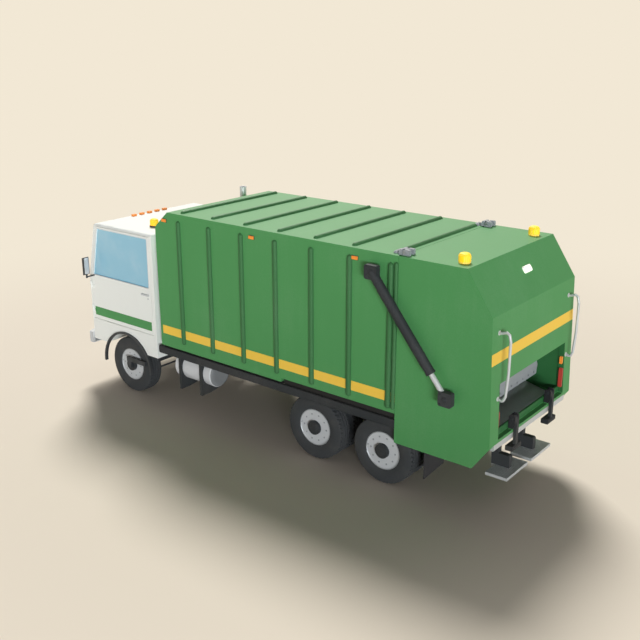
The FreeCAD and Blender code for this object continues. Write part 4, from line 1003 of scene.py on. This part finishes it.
@dataclass
class Cab(Assembly):
    """Windscreen seal and wipers, window seals, mirrors, door locks, headlamp frames, seats
    and a blank plate."""

    half: float = 1.23
    front_x: float = 4.07
    belt_z: float = 2.05
    rake: float = 0.2255
    screen_half: float = 1.11
    screen_z: tuple[float, float] = (2.13, 2.984)
    wiper_roots: tuple[float, ...] = (-0.62, 0.30)
    # arm and blade of a wiper as (y from its root, z, outwards)
    arm: tuple[Point, ...] = ((0.0, 2.095, 0.012), (0.05, 2.18, 0.014), (0.40, 2.60, 0.004))
    blade: tuple[Point, ...] = ((0.22, 2.36, -0.008), (0.40, 2.60, -0.006),
                                (0.58, 2.84, -0.008))
    window: tuple[tuple[float, float], ...] = (
        (2.451, 2.108), (3.9709, 2.108), (3.7734, 2.984), (2.441, 2.984))
    lock: tuple[float, float] = (2.49, 1.915)
    handle_z: float = 1.98
    handle_x: tuple[float, ...] = (2.475, 2.635)
    mirror_x: float = 3.9175
    # inner and outer edge from the door's skin, foot and top
    mirror_glass: tuple[float, ...] = (0.121, 0.219, 2.156, 2.452)
    mirror_rim: tuple[float, ...] = (0.116, 0.220, 2.151, 2.458)
    lamp_x: float = 4.088
    lamp: tuple[float, ...] = (0.82, 1.12, 1.04, 1.20)
    plate_low: Point = (4.070, -0.26, 0.985)
    plate_high: Point = (4.076, 0.26, 1.095)
    seat_y: float = 0.56

    def face(self, y: float, z: float, out: float = 0.0) -> Point:
        """A point on the raked front above the belt, moved outwards."""
        return (self.front_x - (z - self.belt_z) * self.rake + out, y, z)

    def screen(self) -> None:
        """A rubber seal round the windscreen, carried on its rounded corners, and two wipers:
        a boss and a bent arm each, and a blade that is thicker in its middle."""
        slope = (1.0, 0.0, self.rake)
        ring = [self.face(y, z, 0.002)
                for _, y, z in upright(0, -self.screen_half, self.screen_half, *self.screen_z)]
        self.put("windscreen_seal", loop(ring, 0.05, 0.012, 0.006, slope, 8, 10), "seal_rubber")
        arms, blades = [], []
        for root in self.wiper_roots:
            arms.append(lathe([(0, 0), (0, 0.024), (0.010, 0.022), (0.016, 0.012),
                               (0.016, 0)], self.face(root, self.arm[0][1]), slope, 16))
            arm, blade = ([self.face(root + y, z, out) for y, z, out in path]
                          for path in (self.arm, self.blade))
            arms.append(sweep(bent(arm, 0.04), 0.008, 0.004, slope, 8, 3.0))
            blades.append(sweep(blade, 0.006, 0.008, slope, 8, 3.0,
                                swell=np.array((0.6, 1.0, 0.6))))
        self.put("wiper_arms", joined(arms), "trim_plastic")
        self.put("wiper_blades", joined(blades), "seal_rubber")

    def door(self, side: int, word: str) -> None:
        """Window seal, lock, handle roots and the mirror's glass and rim on one door.

        Args:
            side: the sign of Y.
            word: the side's word in names.
        """
        body, y = "door_" + word, self.half * side
        out: Point = (0.0, float(side), 0.0)
        ring = [(x, y + 0.0012 * side, z) for x, z in self.window]
        self.put("window_seal_" + word, loop(ring, 0.03, 0.006, 0.0025, ALONG_Y),
                 "window_rubber", body=body)
        lock = lathe([(0, 0), (0, 0.016), (0.003, 0.015), (0.004, 0.010), (0.0025, 0.009),
                      (0.0025, 0)], (self.lock[0], y, self.lock[1]), out, 20)
        roots = lathe([(0, 0), (0, 0.021), (0.004, 0.018), (0.006, 0)],
                      (0, y, self.handle_z), out, 18).along(ALONG_X, *self.handle_x)
        self.put("door_lock_" + word, lock + roots, "bumper_enamel", body=body)
        inner, outer, foot, top = self.mirror_glass
        low, high = sorted((y + inner * side, y + outer * side))
        glass = pillow((self.mirror_x - 0.002, low, foot), (self.mirror_x + 0.0022, high, top),
                       0.002)
        self.put("mirror_glass_" + word, glass, "mirror_silver", body=body)
        inner, outer, foot, top = self.mirror_rim
        low, high = sorted((y + inner * side, y + outer * side))
        rim = upright(self.mirror_x, low, high, foot, top)
        self.put("mirror_rim_" + word, loop(rim, 0.02, 0.004, 0.003), "trim_plastic", body=body)

    def front(self) -> None:
        """Frames round the headlamps, a blank plate with its screws, and slat end bolts."""
        ring = upright(self.lamp_x, *self.lamp)
        self.put("headlamp_frames", loop(ring, 0.03, 0.009, 0.012, sides=10, power=3.0).paired(),
                 "nut_steel")
        self.put("blank_plate", pillow(self.plate_low, self.plate_high, 0.003), "plate_white")
        screws = dome((self.plate_high[0], 0.20, 1.04), ALONG_X, 0.009).paired()
        bolts = hex_head((4.096, 0.603, 1.33), ALONG_X, 0.016, 0.007)
        bolts = bolts.along(ALONG_Z, 0.0, 0.20, 0.40).paired()
        self.put("front_bolts", screws + bolts, "nut_steel")

    def cushion(self, centre: Point, size: Point, crown: int, seams: int) -> Shape:
        """A stuffed block: |x|^5 + |y|^5 + |z|^5 = 1 scaled to its size, raised by a cosine
        across its middle and pinched by grooves where its seams run.

        Args:
            centre: middle of the cushion.
            size: half sizes.
            crown: the axis that bulges.
            seams: grooves across the Y direction.

        Returns:
            The closed cushion.
        """
        rise = np.linspace(-math.pi / 2, math.pi / 2, 33)[:, None]
        turn = np.linspace(0, TAU, 64, endpoint=False)
        ball = np.stack(np.broadcast_arrays(np.cos(rise) * np.cos(turn),
                                            np.cos(rise) * np.sin(turn), np.sin(rise)), -1)
        ball /= (np.abs(ball) ** 5).sum(-1, keepdims=True) ** 0.2
        across = [axis for axis in range(3) if axis != crown]
        bulge = np.prod(np.cos(ball[..., across] * math.pi / 2), -1)
        row = (ball[..., 1] + 1) * (seams + 1) / 2
        groove = np.exp(-((row + 0.5) % 1 - 0.5) ** 2 / 0.004)
        inner = (np.abs(ball[..., 1]) < 0.95) & (bulge > 0.02)
        ball[..., crown] *= 1 + 0.22 * bulge - np.where(inner, 0.16 * groove, 0.0)
        return grid(np.array(centre) + ball * np.array(size), False, True)

    def seats(self) -> None:
        """Seat, back and head cushions of both seats, with their grooves sewn across."""
        y = self.seat_y
        # name, centre, half sizes, axis that bulges, seams, fill
        table = (("seat", (2.80, y, 1.665), (0.225, 0.262, 0.075), 2, 2, 0.8),
                 ("back", (2.535, y, 1.98), (0.075, 0.262, 0.30), 0, 2, 0.8),
                 ("head", (2.515, y, 2.43), (0.055, 0.20, 0.10), 0, 0, 0.9))
        for name, centre, size, crown, seams, fill in table:
            one = self.cushion(centre, size, crown, seams)
            for shape, word in ((one, "left"), (one.mirrored(), "right")):
                pad = self.put(f"{name}_cushion_{word}", shape, "seat_cloth", smooth=60)

    def build(self) -> None:
        """Make every fitting of the cab."""
        self.screen()
        for side, word in SIDES:
            self.door(side, word)
        self.front()
        self.seats()


@dataclass
class Carrier(Assembly):
    """Near-black strips painted as the shadow in the recess over the sills, weld beads, lamp
    gaskets, rivets, tank straps and caps, stack bands, rail bolts and pin plates."""

    half: float = 1.25
    roof_z: float = 3.52
    strip_y: tuple[float, float] = (1.186, 1.196)
    strip_foot: float = 1.114
    # rear end, front end and top of each near-black strip, a painted shadow of the recess over
    # the sill
    strips: tuple[Point, ...] = ((-0.555, 2.165, 1.1645), (-2.678, -0.575, 1.2275))
    rib_first: float = 1.601
    rib_pitch: float = 0.694
    rib_count: int = 7
    rib_radius: float = 0.042
    rib_z: tuple[float, float] = (1.30, 3.39)
    roof_chamfer: float = 0.115
    marker_x: tuple[float, ...] = (1.935, -0.015, -1.961)
    marker_z: float = 3.381
    rivet_z: float = 1.055
    tank_radius: float = 0.245
    tank_z: float = 0.785
    strap_x: tuple[float, ...] = (1.352, 1.852)
    stack: tuple[float, float] = (2.245, -0.97)
    stack_radius: float = 0.060
    clamp_z: tuple[float, ...] = (1.62, 2.35, 3.05)
    stack_end: float = 3.60
    rail_y: float = 0.435
    rail_z: tuple[float, ...] = (0.80, 0.98)
    bumper_bolts: tuple[Point, ...] = ((4.19, 0.40, 0.945), (4.26, 0.40, 0.945),
                                       (4.19, 0.95, 0.945))
    lift_top: Point = (-2.330, 1.4134, 3.265)

    def ribs(self) -> None:
        """Near-black rubber-finished strips that close the gap between the sills and the body's
        stepped floor, painted as the shadow in that recess, and a weld bead along the rear foot
        of every side rib and both feet of roof ribs."""
        inner, outer = self.strip_y
        strips = joined([pillow((rear, inner, self.strip_foot), (front, outer, top), 0.003)
                         for rear, front, top in self.strips])
        # the strips are near-black as a painted shadow of the recess over the sill
        self.put("sill_packing_strips", strips.paired(), "packing_rubber")
        places = self.rib_first - self.rib_pitch * np.arange(self.rib_count)
        y, z, r = self.half + 0.001, self.roof_z + 0.001, self.rib_radius
        foot = -r - 0.001
        side = weld(*((foot, y, end) for end in self.rib_z)).along(ALONG_X, *places)
        self.put("side_rib_welds", side.paired(), "body_enamel", smooth=60)
        reach = self.half - self.roof_chamfer
        roof = joined([weld((x, -reach, z), (x, reach, z)) for x in (-r, r)])
        self.put("roof_rib_welds", roof.along(ALONG_X, *places), "body_enamel", smooth=60)

    def gaskets(self) -> None:
        """A rubber pad behind each side marker lamp, and a riveted line along each sill."""
        pad = pillow((-0.056, self.half, self.marker_z - 0.031),
                     (0.056, self.half + 0.005, self.marker_z + 0.031), 0.002)
        self.put("marker_gaskets", pad.along(ALONG_X, *self.marker_x).paired(), "seal_rubber")
        rear, front, pitch = -2.52, 2.2, 0.295
        rivet = dome((0, self.half, self.rivet_z), ALONG_Y, 0.011)
        self.put("sill_rivets", rivet.along(ALONG_X, *np.arange(rear, front, pitch)).paired(),
                 "chassis_enamel")

    def tanks(self) -> None:
        """Straps over the hangers, end seams, a filler neck with its cap, and a drain plug."""
        low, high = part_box("side_tanks")
        y, z, r = high.y - self.tank_radius, self.tank_z, self.tank_radius
        strap = band((0, y, z), ALONG_X, 0.021, r + 0.0004, r + 0.0035, 0.0, 64)
        self.put("tank_straps", strap.along(ALONG_X, *self.strap_x).paired(), "nut_steel")
        seam = band((0, y, z), ALONG_X, 0.006, r - 0.0005, r + 0.003, 0.002, 64)
        self.put("tank_seams", seam.along(ALONG_X, low.x + 0.05, high.x - 0.05).paired(),
                 "tank_enamel")
        lean: Point = (0.0, 0.5, 0.866)
        neck = (high.x - 0.13, y + lean[1] * (r - 0.01), z + lean[2] * (r - 0.01))
        cap = lathe([(0, 0), (0, 0.042), (0.022, 0.042), (0.022, 0.052), (0.028, 0.055),
                     (0.050, 0.055), (0.056, 0.049), (0.057, 0)], neck, lean, 28)
        plug = hex_head((1.56, y, z - r + 0.001), (0, 0, -1), 0.03, 0.02)
        self.put("tank_caps", (cap + plug).paired(), "trim_plastic")

    def exhaust(self) -> None:
        """Clamps round the exhaust pipe and a rolled rim at its mouth."""
        (x, y), r = self.stack, self.stack_radius
        clamp = lathe([(-0.018, r + 0.0005), (-0.018, r + 0.005), (-0.012, r + 0.007),
                       (0.012, r + 0.007), (0.018, r + 0.005), (0.018, r + 0.0005)],
                      (x, y, 0), ALONG_Z, 40).along(ALONG_Z, *self.clamp_z)
        rim = lathe([(-0.014, r - 0.0005), (-0.012, r + 0.005), (-0.004, r + 0.006),
                     (-0.001, r - 0.0005)], (x, y, self.stack_end), ALONG_Z, 40)
        self.put("stack_clamps", clamp + rim, "nut_steel")

    def rails(self) -> None:
        """Bolt heads in pairs along both frame rails and on the front bumper."""
        rear, front, pitch, between = -2.5, 3.9, 0.42, 0.07
        row = np.concatenate([np.arange(rear, front, pitch) + shift for shift in (0.0, between)])
        bolt = hex_head((0, self.rail_y, 0), ALONG_Y, 0.024, 0.011)
        bolts = bolt.repeated([(x, 0, z) for x in row for z in self.rail_z])
        self.put("rail_bolts", bolts.paired(), "chassis_enamel")
        heads = hex_head((0, 0, 0), ALONG_Z, 0.024, 0.010).repeated(self.bumper_bolts)
        self.put("bumper_bolts", heads.paired(), "nut_steel")

    def build(self) -> None:
        """Make every fitting of the body and frame."""
        self.ribs()
        self.gaskets()
        self.tanks()
        self.exhaust()
        self.rails()
        self.put("lift_top_plates", pin_plate(*self.lift_top), "chassis_enamel", "steel_dark")


@dataclass
class LiftCylinder(Assembly):
    """Gland, collar, feed pipe and block bolts of both lift cylinders."""

    top: Point = (-2.330, 1.368, 3.265)
    low: Point = (-3.568, 1.368, 1.730)
    barrel: float = 1.56
    radius: float = 0.066
    rod: float = 0.038
    block: float = 0.07
    face_y: float = 1.413
    collar: float = 0.17
    clips: tuple[float, ...] = (0.55, 1.15)
    pipe: tuple[float, float] = (0.24, 1.46)

    def build(self) -> None:
        """Turn the rings about the cylinder's line and run the pipe beside it."""
        top, r = np.array(self.top), self.radius
        line = np.array(self.low) - top
        line /= np.linalg.norm(line)
        under = np.array((-line[2], 0.0, line[0]))
        gland = lathe([(-0.004, self.rod + 0.001), (-0.004, r + 0.005), (0.022, r + 0.005),
                       (0.028, r - 0.006), (0.028, self.rod + 0.001)],
                      top + line * self.barrel, line, 36)
        collar = band(top + line * self.collar, line, 0.014, r - 0.001, r + 0.004, 0.002)
        clips = joined([band(top + line * clip, line, 0.011, r - 0.001, r + 0.003, 0.002)
                        for clip in self.clips])
        first, last = (top + line * end for end in self.pipe)
        near, far = under * 0.05, under * (r + 0.016)
        pipe = sweep(bent([first + near, first + far, last + far, last + near], 0.028), 0.008,
                     0.008, ALONG_Y, 10)
        bolt = hex_head((0, self.face_y, 0), ALONG_Y, 0.016, 0.007)
        corners = np.array([(a, 0, b) for a in (-1, 1) for b in (-1, 1)]) * self.block
        upper, lower = (bolt.repeated(corners + np.array((x, 0, z)))
                        for x, _, z in (self.top, self.low))
        self.put("lift_barrel_fittings", (gland + collar + pipe + clips + upper).paired(),
                 "chassis_enamel", "steel_dark", "lift_barrels")
        self.put("lift_rod_bolts", lower.paired(), "chassis_enamel", "steel_dark", "lift_rods")


@dataclass
class Tail(Assembly):
    """Joint seal, hinge pins, rail flanges, step tread, flap clamps, pin plates, and the
    bolts and pads of the blade and the bin lifter."""

    body: ClassVar[str] = "tailgate"
    joint_x: float = -2.683
    half: float = 1.25
    joint_low: float = 1.245
    roof_z: float = 3.52
    lip: Point = (-4.10, 0.97, 1.282)
    hinge: Point = (-2.734, 1.12, 3.565)
    hinge_half: float = 0.077
    rail_y: float = 1.06
    rail_z: tuple[float, ...] = (2.700, 1.791)
    rear_x: float = -4.190
    rear_z: float = 1.150
    lean: float = 0.0419
    step_low: Point = (-4.205, 0.06, 0.480)
    step_high: Point = (-3.870, 0.70, 0.480)
    hanger_y: tuple[float, float] = (0.315, 0.435)
    flap_low: Point = (-3.143, 0.58, 1.005)
    flap_high: Point = (-3.1362, 1.12, 1.045)
    flap_bolts: tuple[float, ...] = (0.62, 0.77, 0.93, 1.08)
    wear_strip: Point = (-3.7535, 0, 1.46)
    lifter: Point = (-4.178, 0.558, 1.352)
    lifter_half: float = 0.058
    lift_low: Point = (-3.568, 1.4134, 1.730)

    def seal(self) -> None:
        """A rubber tube in the joint between tailgate and body, and a bead along the lip."""
        y, high = self.half - 0.012, self.roof_z - 0.012
        ring = upright(self.joint_x, -y, y, self.joint_low, high)
        self.put("tailgate_seal", loop(ring, 0.03, 0.009, 0.0026, sides=10), "seal_rubber")
        x, y, z = self.lip
        lip = sweep([(x, -y, z), (x, y, z)], 0.018, 0.006, ALONG_Z, 10)
        self.put("hopper_lip_bead", lip, "tailgate_enamel")

    def rails(self) -> None:
        """Flanges where the grab rails meet the rear face."""
        out = (-1.0, 0.0, self.lean)
        discs = []
        for z in self.rail_z:
            x = self.rear_x + (z - self.rear_z) * self.lean
            discs.append(lathe([(0, 0), (0, 0.034), (0.006, 0.032), (0.008, 0.021),
                                (0.008, 0)], (x, self.rail_y, z), out, 28))
            bolt = hex_head((x - 0.006, self.rail_y, z + 0.026), out, 0.009, 0.005)
            discs.append(bolt.ringed(3, (x, self.rail_y, z), ALONG_X))
        self.put("rail_flanges", joined(discs).paired(), "tube_steel")

    def steps(self) -> None:
        """Raised lozenges on both riding steps, low and blunt, in alternating directions, and
        a nosing along the rear edge. The hanger's foot stays free of them."""
        (x0, y0, z), (x1, y1, _) = self.step_low, self.step_high
        margin, pitch = 0.025, 0.036
        x, y = np.meshgrid(np.arange(x0 + margin, x1 - 0.01, pitch),
                           np.arange(y0 + margin, y1 - 0.01, pitch), indexing="ij")
        lean = (np.indices(x.shape).sum(0) % 2 * 2 - 1).ravel()
        centre = np.stack((x.ravel(), y.ravel(), np.full(x.size, z)), -1)
        free = ((centre[:, 0] < x0 + 0.10) | (centre[:, 1] < self.hanger_y[0])
                | (centre[:, 1] > self.hanger_y[1]))
        foot = np.array([(-0.015, 0, -0.0008), (0, -0.0045, -0.0008), (0.015, 0, -0.0008),
                         (0, 0.0045, -0.0008)])
        lozenge = np.concatenate((foot, foot * (0.6, 0.5, 1) + (0, 0, 0.0038)))
        half = math.sqrt(0.5)
        turned = lozenge @ np.array(((half, half, 0), (-half, half, 0), (0, 0, 1)))
        flip = np.ones((free.sum(), 1, 3))
        flip[:, 0, 0] = lean[free]
        quads = np.array([(0, 1, 5, 4), (1, 2, 6, 5), (2, 3, 7, 6), (3, 0, 4, 7), (4, 5, 6, 7),
                          (3, 2, 1, 0)])
        tread = Shape(lozenge, quads).copied(turned * flip + centre[free][:, None])
        nosing = [(x0 + 0.004, y0 + 0.02, z + 0.001), (x0 + 0.004, y1 - 0.02, z + 0.001)]
        self.put("step_tread", (tread + sweep(nosing, 0.006, 0.003, ALONG_Z, 8)).paired(),
                 "step_steel")

    def flaps(self) -> None:
        """A clamp bar with its bolts across the top of each mud flap."""
        bar = pillow(self.flap_low, self.flap_high, 0.003)
        bolts = hex_head((self.flap_low[0], 0, 1.025), BACKWARDS, 0.018, 0.008)
        self.put("flap_clamps", (bar + bolts.along(ALONG_Y, *self.flap_bolts)).paired(),
                 "nut_steel")

    def lifters(self) -> None:
        """Caps on the lifter pins, and a rubber pad on each cross foot."""
        x, y, _ = self.lifter
        caps = pin_caps([(0, 0), (0, 0.024), (0.004, 0.023), (0.004, 0.012), (0.010, 0.010),
                         (0.011, 0)], self.lifter, self.lifter_half, 20)
        self.put("lifter_pin_caps", caps, "chassis_enamel", "steel_dark")
        pad = pillow((x - 0.078, y - 0.105, 0.91), (x - 0.0722, y + 0.105, 0.955), 0.0025)
        self.put("lifter_pads", pad.paired(), "seal_rubber", body="lifter_arms")

    def build(self) -> None:
        """Make every fitting of the tailgate, its blade and its lifter."""
        self.seal()
        self.put("hinge_pin_caps",
                 pin_caps([(0, 0), (0, 0.025), (0.004, 0.025), (0.004, 0.017), (0.012, 0.015),
                           (0.014, 0)], self.hinge, self.hinge_half, 24),
                 "nut_steel", "steel_dark")
        self.rails()
        self.steps()
        self.flaps()
        bolt = hex_head(self.wear_strip, (-1, 0, 0.05), 0.026, 0.012)
        self.put("blade_bolts", bolt.along(ALONG_Y, *np.linspace(-0.90, 0.90, 11)),
                 "nut_steel", "steel_dark", "packer_blade")
        self.lifters()
        self.put("lift_low_plates", pin_plate(*self.lift_low), "chassis_enamel", "steel_dark",
                 "lift_rods")


@dataclass
class Studio:
    """Pale floor, soft light and the camera."""

    place: Point = (-9.020, 10.872, 6.477)
    heading: float = -51.40
    tilt: float = -18.57
    focal: float = 50.0
    sensor: float = 36.0
    view_end: float = 500.0
    floor_half: float = 150.0
    floor_z: float = -0.001
    fade: tuple[float, float] = (3.5, 15.0)
    sky: float = 0.135
    sky_colour: Colour = (0.99, 0.94, 0.97)
    # name, strength, softness in degrees, colour, where it comes from
    suns: tuple[tuple[str, float, float, Colour, Point], ...] = (
        ("studio_sun", 3.88, 19, (1.0, 0.975, 0.94), (0.603, -0.669, 1.0)),
        ("studio_fill", 6.6, 26, (0.965, 0.985, 1.02), (-0.75, 0.66, -0.06)))

    def floor(self) -> None:
        """A wide pale sheet just below the tyres, which takes the backdrop's colour far away;
        seen in metal or through glass it is that colour everywhere."""
        graph = Graph(bpy.data.materials.new("studio_floor"))
        x, y, _ = graph.axes
        far = (x * x + y * y).math("SQRT").step(*self.fade)
        lit = graph.shader({"Base Color": Hue.SAND.value, "Roughness": 0.9})
        glow = graph.node("ShaderNodeEmission", {}, {"Color": Hue.PAPER.value})
        material = graph.close(graph.node("ShaderNodeMixShader", {},
                                          {0: far * graph.seen(), 1: lit, 2: glow}))
        reach = np.linspace(-self.floor_half, self.floor_half, 3)
        sheet = grid(np.stack(np.broadcast_arrays(reach[:, None], reach, self.floor_z), -1))
        link("studio_floor", sheet.mesh("studio_floor", material))

    def light(self) -> None:
        """A dim even sky, a broad sun from the front right and a low fill from the rear left."""
        graph = Graph(bpy.data.worlds.new("studio_sky"), "ShaderNodeOutputWorld")
        lit = graph.node("ShaderNodeBackground", {},
                         {"Color": self.sky_colour, "Strength": self.sky})
        backdrop = graph.node("ShaderNodeBackground", {}, {"Color": Hue.PAPER.value})
        bpy.context.scene.world = graph.close(graph.node(
            "ShaderNodeMixShader", {}, {0: graph.seen(), 1: lit, 2: backdrop}))
        for name, energy, softness, colour, source in self.suns:
            lamp = bpy.data.lights.new(name, "SUN")
            lamp.energy = energy
            lamp.angle = math.radians(softness)
            lamp.color = colour
            link(name, lamp).rotation_euler = Vector(source).to_track_quat("Z", "Y").to_euler()

    def camera(self) -> None:
        """The camera behind the left rear corner, looking forwards and down."""
        data = bpy.data.cameras.new("studio_camera")
        data.lens = self.focal
        data.sensor_width = self.sensor
        data.clip_end = self.view_end
        camera = link("studio_camera", data)
        camera.location = self.place
        camera.rotation_euler = (math.radians(90 + self.tilt), 0,
                                 math.radians(self.heading - 90))
        bpy.context.scene.camera = camera
        bpy.context.scene.view_settings.view_transform = "Standard"

    def build(self) -> None:
        """Make the floor, the world, the lamps and the camera."""
        self.floor()
        self.light()
        self.camera()


# ---- the truck
def coats() -> tuple[Finish, ...]:
    """Every finish of the truck, with the patches of other colours in each.

    Returns:
        The finishes.
    """
    hinge = Patch(Hue.STEEL, (-2.86, 1.0, 3.523), (-2.50, 1.25, 3.7))
    # the side and roof ribs are painted darker than the wall: painted shade
    body = (Patch(Hue.RIB_GREEN, (-2.68, 1.2512, 1.2), (2.2, 1.32, 3.5)),
            Patch(Hue.RIB_GREEN, (-2.68, 0.0, 3.5215), (2.2, 1.3, 3.57)),
            Patch(Hue.YELLOW, (-2.68, 1.245, 1.385), (2.117, 1.2512, 1.535)),
            hinge, Patch(Hue.SOOT, (-2.9, 0.0, 1.0), (2.3, 0.45, 1.166)),
            # the body floor's top is painted pale: worn steel with painted light
            Patch(Hue.WORN, (-2.679, 0.0, 1.24), (2.13, 1.2, 1.289)))
    tail = (Patch(Hue.YELLOW, (-4.3, 0.0, 2.287), (-4.0, 1.249, 2.447)),
            # the hopper's inner walls are painted darker: painted shade
            Patch(Hue.JAMB_GREEN, (-4.19, 0.0, 1.2), (-2.7, 1.0215, 1.986)),
            # the hopper floor is painted pale: worn steel with painted light
            Patch(Hue.WORN, (-4.084, 0.0, 1.13), (-2.6, 1.0195, 1.30)),
            Patch(Hue.SOOT, (-4.3, 0.48, 1.2), (-4.12, 0.64, 1.42)), hinge)
    cab = (Patch(Hue.GREEN, (2.433, 1.2, 1.335), (3.985, 1.26, 1.497)),
           Patch(Hue.GREY, (2.455, 1.2305, 1.955), (2.655, 1.26, 2.0)))
    tank_ends = (Patch(Hue.END_GREY, (1.0, 0.5, 0.5), (1.113, 1.3, 1.1)),
                 Patch(Hue.END_GREY, (1.967, 0.5, 0.5), (2.1, 1.3, 1.1)))
    hubs = tuple(Disc(Hue.BLACK, x, 0.52, 0.1135) for x in (3.145, -1.15, -2.42))
    rod_eye = (Patch(Hue.BLACK, (-3.72, 1.2, 1.5), (-3.44, 1.5, 1.84)),)
    hanger = (Patch(Hue.BLACK, (-4.15, 0.3, 0.482), (-3.7, 0.45, 1.1)),)
    blade_face = (Patch(Hue.STEEL, (-3.9, 0.0, 1.38), (-3.5, 1.1, 1.95)),)
    tail_lamps = (Patch(Hue.RED, (-4.4, 0.9, 1.2), (-4.0, 1.3, 1.62)),
                  Patch(Hue.AMBER, (-4.4, 0.9, 1.62), (-4.0, 1.3, 1.9)),
                  Patch(Hue.CLEAR, (-4.2, 0.0, 3.0), (-3.7, 0.3, 3.5)),
                  Patch(Hue.YELLOW, (-3.7, 0.8, 3.5), (-3.4, 1.2, 3.542)))
    front_lamps = (Patch(Hue.LEMON, (2.6, 0.6, 3.094), (2.95, 0.9, 3.4)),
                   Patch(Hue.SOOT, (2.6, 0.6, 3.0), (2.95, 0.9, 3.094)),
                   Patch(Hue.CLEAR, (4.0, 0.0, 0.9), (4.3, 1.3, 1.3)))
    return (
        Paint("body_enamel", "body_green", Hue.GREEN, patches=body),
        Paint("tailgate_enamel", "body_green", Hue.GREEN, patches=tail),
        Paint("cab_enamel", "cab_white", Hue.WHITE, dust=0.04, patches=cab),
        Paint("chassis_enamel", "chassis_black", Hue.BLACK, 0.55, 0.0, 0.2),
        Paint("bumper_enamel", "light_grey", Hue.GREY, 0.45, 0.06, 0.08),
        Paint("tank_enamel", "light_grey", Hue.PALE, 0.38, 0.12, 0.06, tank_ends),
        Paint("wheel_enamel", "light_grey", Hue.GREY, 0.45, 0.0, 0.08, hubs),
        Paint("plate_white", "light_grey", Hue.CLEAR, 0.4, 0.1, 0.02),
        Metal("plated_rod", "rod_chrome", Hue.GREY, 0.42, 0.15, rod_eye),
        Metal("tube_steel", "light_grey", Hue.PALE, 0.38, 0.4),
        Metal("step_steel", "light_grey", Hue.GREY, 0.42, 0.2, hanger),
        Metal("nut_steel", "light_grey", Hue.STEEL, 0.4, 0.6),
        # the blade's base is the same pale worn steel, with painted light in it
        Metal("blade_steel", "steel_dark", Hue.WORN, 0.45, 0.4, blade_face, (30.0, 2.0, 4.0)),
        Metal("mirror_silver", "light_grey", Hue.PALE, 0.22, 0.25),
        Metal("cast_iron", "cast_grey", Hue.BLACK, 0.6, 0.3),
        Rubber("tyre_rubber", "tyre_black", Hue.BLACK),
        Rubber("seal_rubber", "rubber_black", Hue.SOOT, 0.05),
        Rubber("window_rubber", "rubber_black", Hue.PALE, 0.0),
        # near-black strips: painted shadow of the recess over the sills
        Rubber("packing_rubber", "rubber_black", Hue.INK, 0.0),
        Plastic("trim_plastic", "dark_plastic", Hue.BLACK),
        Plastic("cabin_plastic", "dark_plastic", Hue.SOOT),
        Cloth("seat_cloth", "dark_plastic", Hue.CLOTH),
        Pane("tinted_glass", "cab_glass", Hue.BLUE_GLASS),
        Lens("tail_lens", "lamp_plastic", Hue.LEMON, tail_lamps),
        Lens("front_lens", "lamp_plastic", Hue.AMBER, front_lamps))


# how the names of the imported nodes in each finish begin
DRESS: dict[str, tuple[str, ...]] = {
    "wheel_enamel": ("front_rim", "rear_rims"),
    "tyre_rubber": ("front_tyre", "rear_tyres"),
    "body_enamel": ("refuse_body",),
    "tailgate_enamel": ("tailgate", "tail_skirts"),
    "cab_enamel": ("cab_shell", "door_left", "door_right"),
    "chassis_enamel": ("frame_rails", "body_sills", "springs", "lifter_arms", "lift_barrels"),
    "cast_iron": ("axles", "driveline", "tie_rod", "knuckle"),
    "tank_enamel": ("side_tanks",),
    "bumper_enamel": ("front_bumper",),
    "tube_steel": ("exhaust_stack",),
    "front_lens": ("marker_lamps",),
    "tail_lens": ("tail_lamps",),
    "tinted_glass": ("cab_glass", "door_glass"),
    "trim_plastic": ("wheel_flares", "grille", "mirror"),
    "cabin_plastic": ("cab_interior",),
    "step_steel": ("rear_step_and_rails",),
    "seal_rubber": ("mud_flaps",),
    "blade_steel": ("packer_blade",),
    "plated_rod": ("lift_rods",)}


class Truck:
    """The whole vehicle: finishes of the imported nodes, and the pieces added to them."""

    def __init__(self) -> None:
        """Mix the finishes once."""
        self.finishes = {coat.name: (coat.build(), coat.slot) for coat in coats()}

    def dress(self) -> None:
        """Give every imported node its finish."""
        for name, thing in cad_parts.items():
            finish = next(key for key, starts in DRESS.items() if name.startswith(starts))
            thing.data.materials.clear()
            thing.data.materials.append(self.finishes[finish][0])
            LOG.info("%s is finished in %s", name, finish)

    def build(self) -> None:
        """Dress the nodes and add every piece."""
        self.dress()
        for side, word in SIDES:
            for pattern in ("front_{}_", "rear_{}s_1_", "rear_{}s_2_"):
                Wheel(self.finishes, pattern + word, side).build()
        for assembly in (Carrier, LiftCylinder, Tail, Cab):
            assembly(self.finishes).build()


def main() -> None:
    """Build the truck and the studio."""
    logging.basicConfig(level=logging.INFO, format="%(name)s: %(message)s")
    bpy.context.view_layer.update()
    Truck().build()
    LOG.info("truck dressed")
    Studio().build()
    LOG.info("studio ready")


if __name__ == "__main__":
    main()
